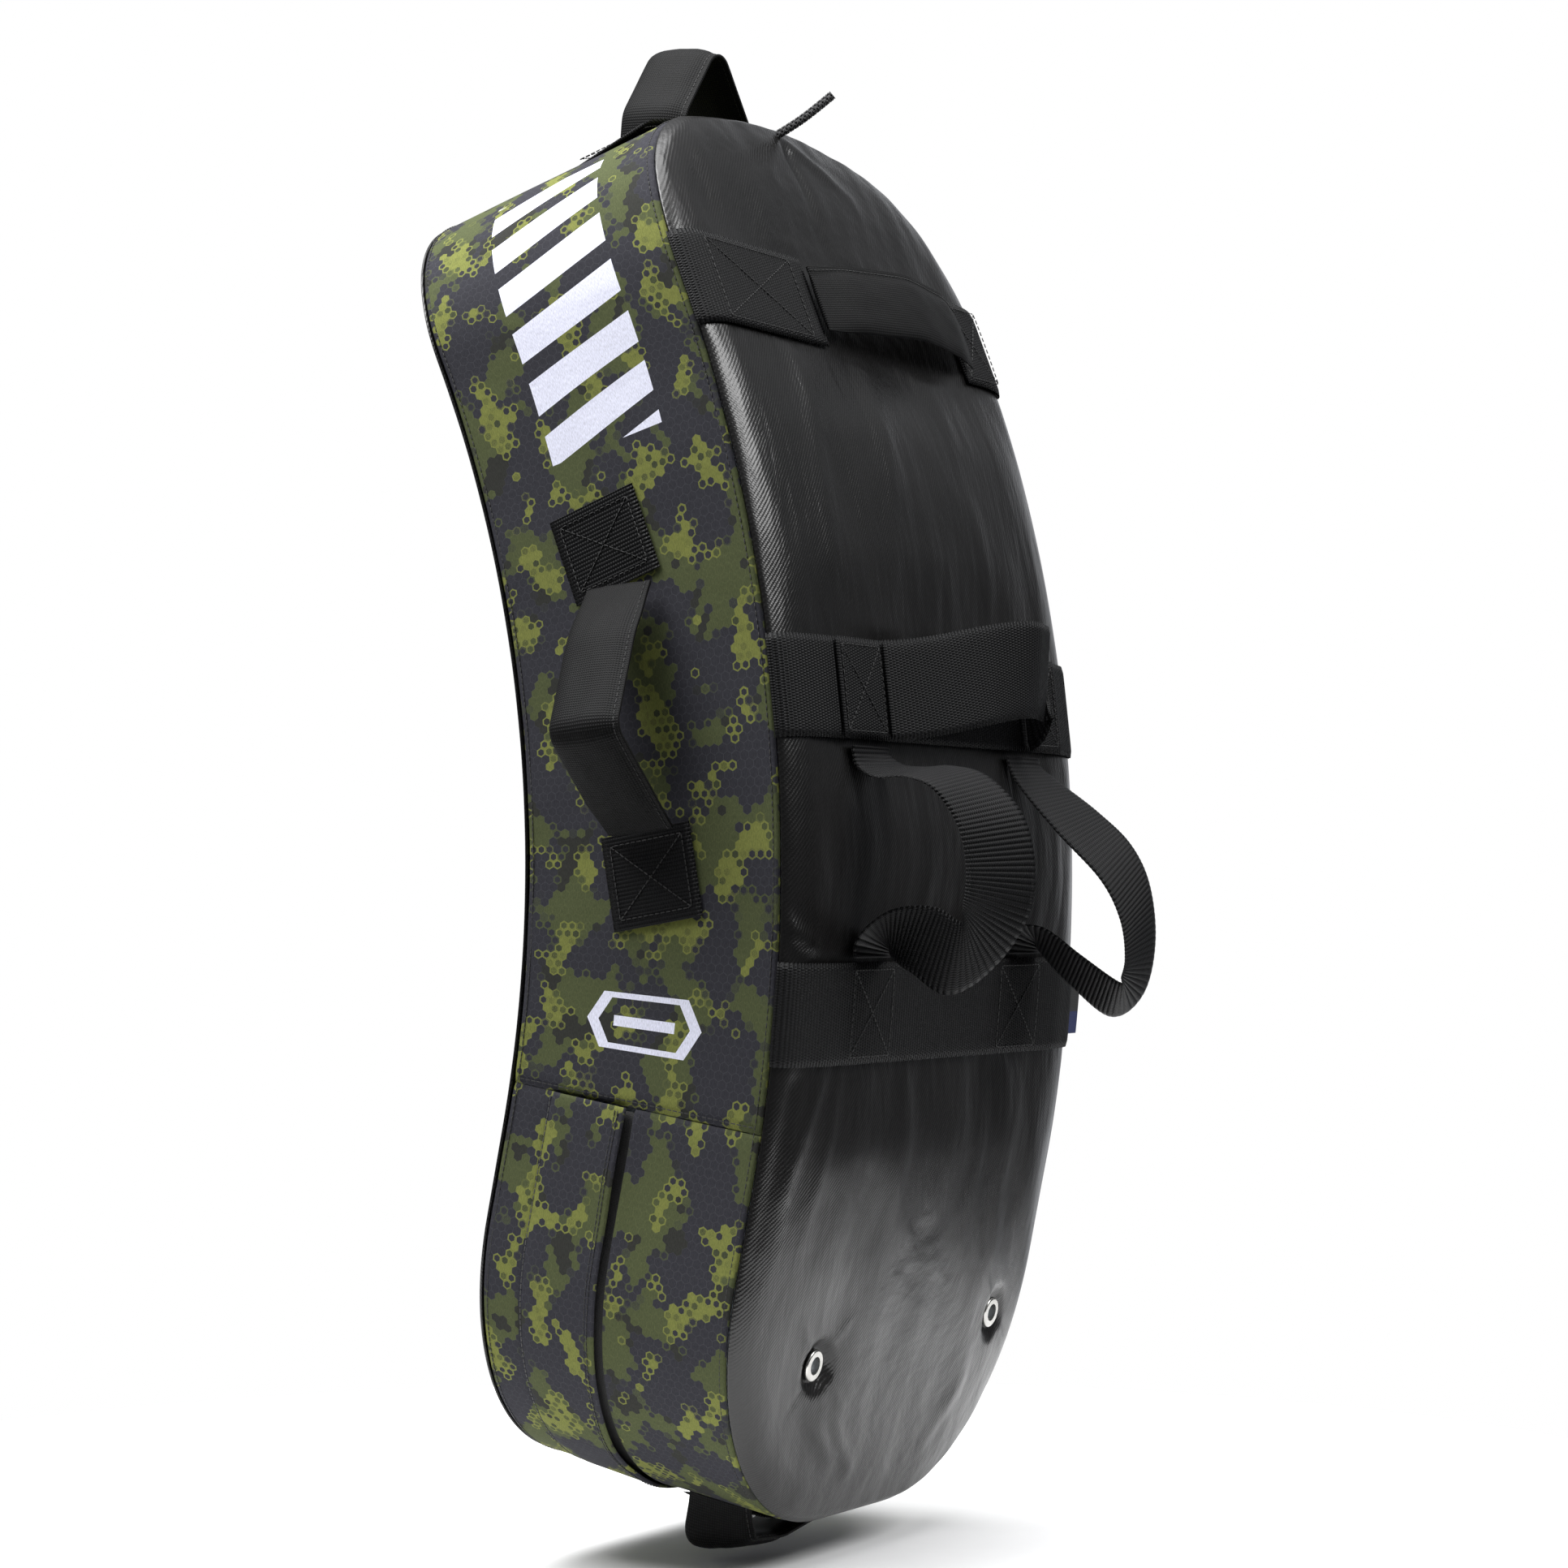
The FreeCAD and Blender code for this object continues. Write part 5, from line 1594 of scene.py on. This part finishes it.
def floor():
    """A round pale floor under the object."""
    m = Shader("floor")
    speckle = m.noise(m.add("TexCoord").outputs["Object"], 40.0, 3.0)
    m.set(Base_Color=m.mix(speckle, grey(0.86), grey(0.90)), Roughness=0.9)
    level = CAD_BOX[0][2] * 1000 - FLOOR_GAP
    turn = np.arange(FLOOR_SIDES) * 2 * math.pi / FLOOR_SIDES
    corners = np.stack([FLOOR_CENTRE[0] + FLOOR_RADIUS * np.cos(turn),
                        FLOOR_CENTRE[1] + FLOOR_RADIUS * np.sin(turn),
                        np.full(FLOOR_SIDES, level)], axis=1)
    obj = make_object("floor", Patch(corners, [tuple(range(FLOOR_SIDES))], corners), [m.material])


def studio_world():
    """White where the camera looks past the object, otherwise a dim room with a white far side."""
    world = bpy.data.worlds.new("studio")
    world.use_nodes = True
    tree = world.node_tree
    tree.nodes.clear()

    def add(kind, *values, **settings):
        node = tree.nodes.new("ShaderNode" + kind)
        for key, value in settings.items():
            setattr(node, key, value)
        for socket, value in zip(node.inputs, values):
            if isinstance(value, bpy.types.NodeSocket):
                tree.links.new(value, socket)
            else:
                socket.default_value = value
        return node

    direction = add("TexCoord").outputs["Generated"]
    angle = math.radians(BACKDROP_AZIMUTH)
    facing = add("VectorMath", direction, (math.cos(angle), math.sin(angle), 0.0), operation="DOT_PRODUCT")
    backdrop = add("MapRange", facing.outputs["Value"], 0.80, 0.97, interpolation_type="SMOOTHSTEP")
    height = add("SeparateXYZ", direction).outputs[2]
    ceiling = add("MapRange", height, 0.15, 0.9, ROOM_LIGHT, CEILING_LIGHT)
    strength = add("Math", backdrop.outputs[0], ceiling.outputs[0], operation="MAXIMUM")
    room = add("Background", (0.94, 0.96, 1.0, 1.0), strength.outputs[0])
    white = add("Background", (1.0, 1.0, 1.0, 1.0), 1.0)
    seen = add("LightPath").outputs["Is Camera Ray"]
    add("OutputWorld", add("MixShader", seen, room.outputs[0], white.outputs[0]).outputs[0])
    bpy.context.scene.world = world


def sunlight():
    """Even light from straight above, which keeps the whole floor pale."""
    light = bpy.data.lights.new("above", "SUN")
    light.energy = SUN_STRENGTH
    light.angle = math.radians(SUN_WIDTH)
    obj = bpy.data.objects.new("above", light)
    bpy.context.scene.collection.objects.link(obj)


def soft_light(name, azimuth, elevation, distance, size, power):
    """A square soft light that looks at the object. Azimuth 0 is on the +X side and 90 behind the back."""
    a, e = math.radians(azimuth), math.radians(elevation)
    light = bpy.data.lights.new(name, "AREA")
    light.shape = "SQUARE"
    light.size = size
    light.energy = power
    obj = bpy.data.objects.new(name, light)
    bpy.context.scene.collection.objects.link(obj)
    obj.matrix_world = (Matrix.Translation(CENTRE)
                        @ Matrix.Rotation(a + math.pi / 2, 4, "Z")
                        @ Matrix.Rotation(math.pi / 2 - e, 4, "X")
                        @ Matrix.Translation((0, 0, distance)))


FLOOR_RADIUS = 600.0
FLOOR_SIDES = 128
FLOOR_GAP = 2.0
FLOOR_CENTRE = (-120.0, -240.0)
SUN_STRENGTH, SUN_WIDTH = 3.1, 50
BACKDROP_AZIMUTH = 206.0      # direction of the white backdrop, counted from +X towards +Y
ROOM_LIGHT, CEILING_LIGHT = 0.10, 0.45
CENTRE = (0.0069, -0.0908, 0.0370)
CAMERA_AZIMUTH, CAMERA_ELEVATION, CAMERA_ROLL = 118.145, -1.910, -0.518
CAMERA_DISTANCE = 2.1194
CAMERA_LENS = 94.158


def camera():
    data = bpy.data.cameras.new("camera")
    data.lens = CAMERA_LENS
    data.sensor_width = 36.0
    obj = bpy.data.objects.new("camera", data)
    bpy.context.scene.collection.objects.link(obj)
    obj.matrix_world = (Matrix.Translation(CENTRE)
                        @ Matrix.Rotation(math.radians(CAMERA_AZIMUTH), 4, "Z")
                        @ Matrix.Rotation(math.radians(90 - CAMERA_ELEVATION), 4, "X")
                        @ Matrix.Rotation(math.radians(CAMERA_ROLL), 4, "Z")
                        @ Matrix.Translation((0, 0, CAMERA_DISTANCE)))
    bpy.context.scene.camera = obj


floor()
studio_world()
sunlight()
soft_light("key", azimuth=-32.0, elevation=56.0, distance=1.7, size=1.0, power=44.0)
soft_light("rear_softbox", azimuth=100.0, elevation=38.0, distance=2.2, size=1.0, power=36.0)
camera()
bpy.context.scene.view_settings.view_transform = "Standard"
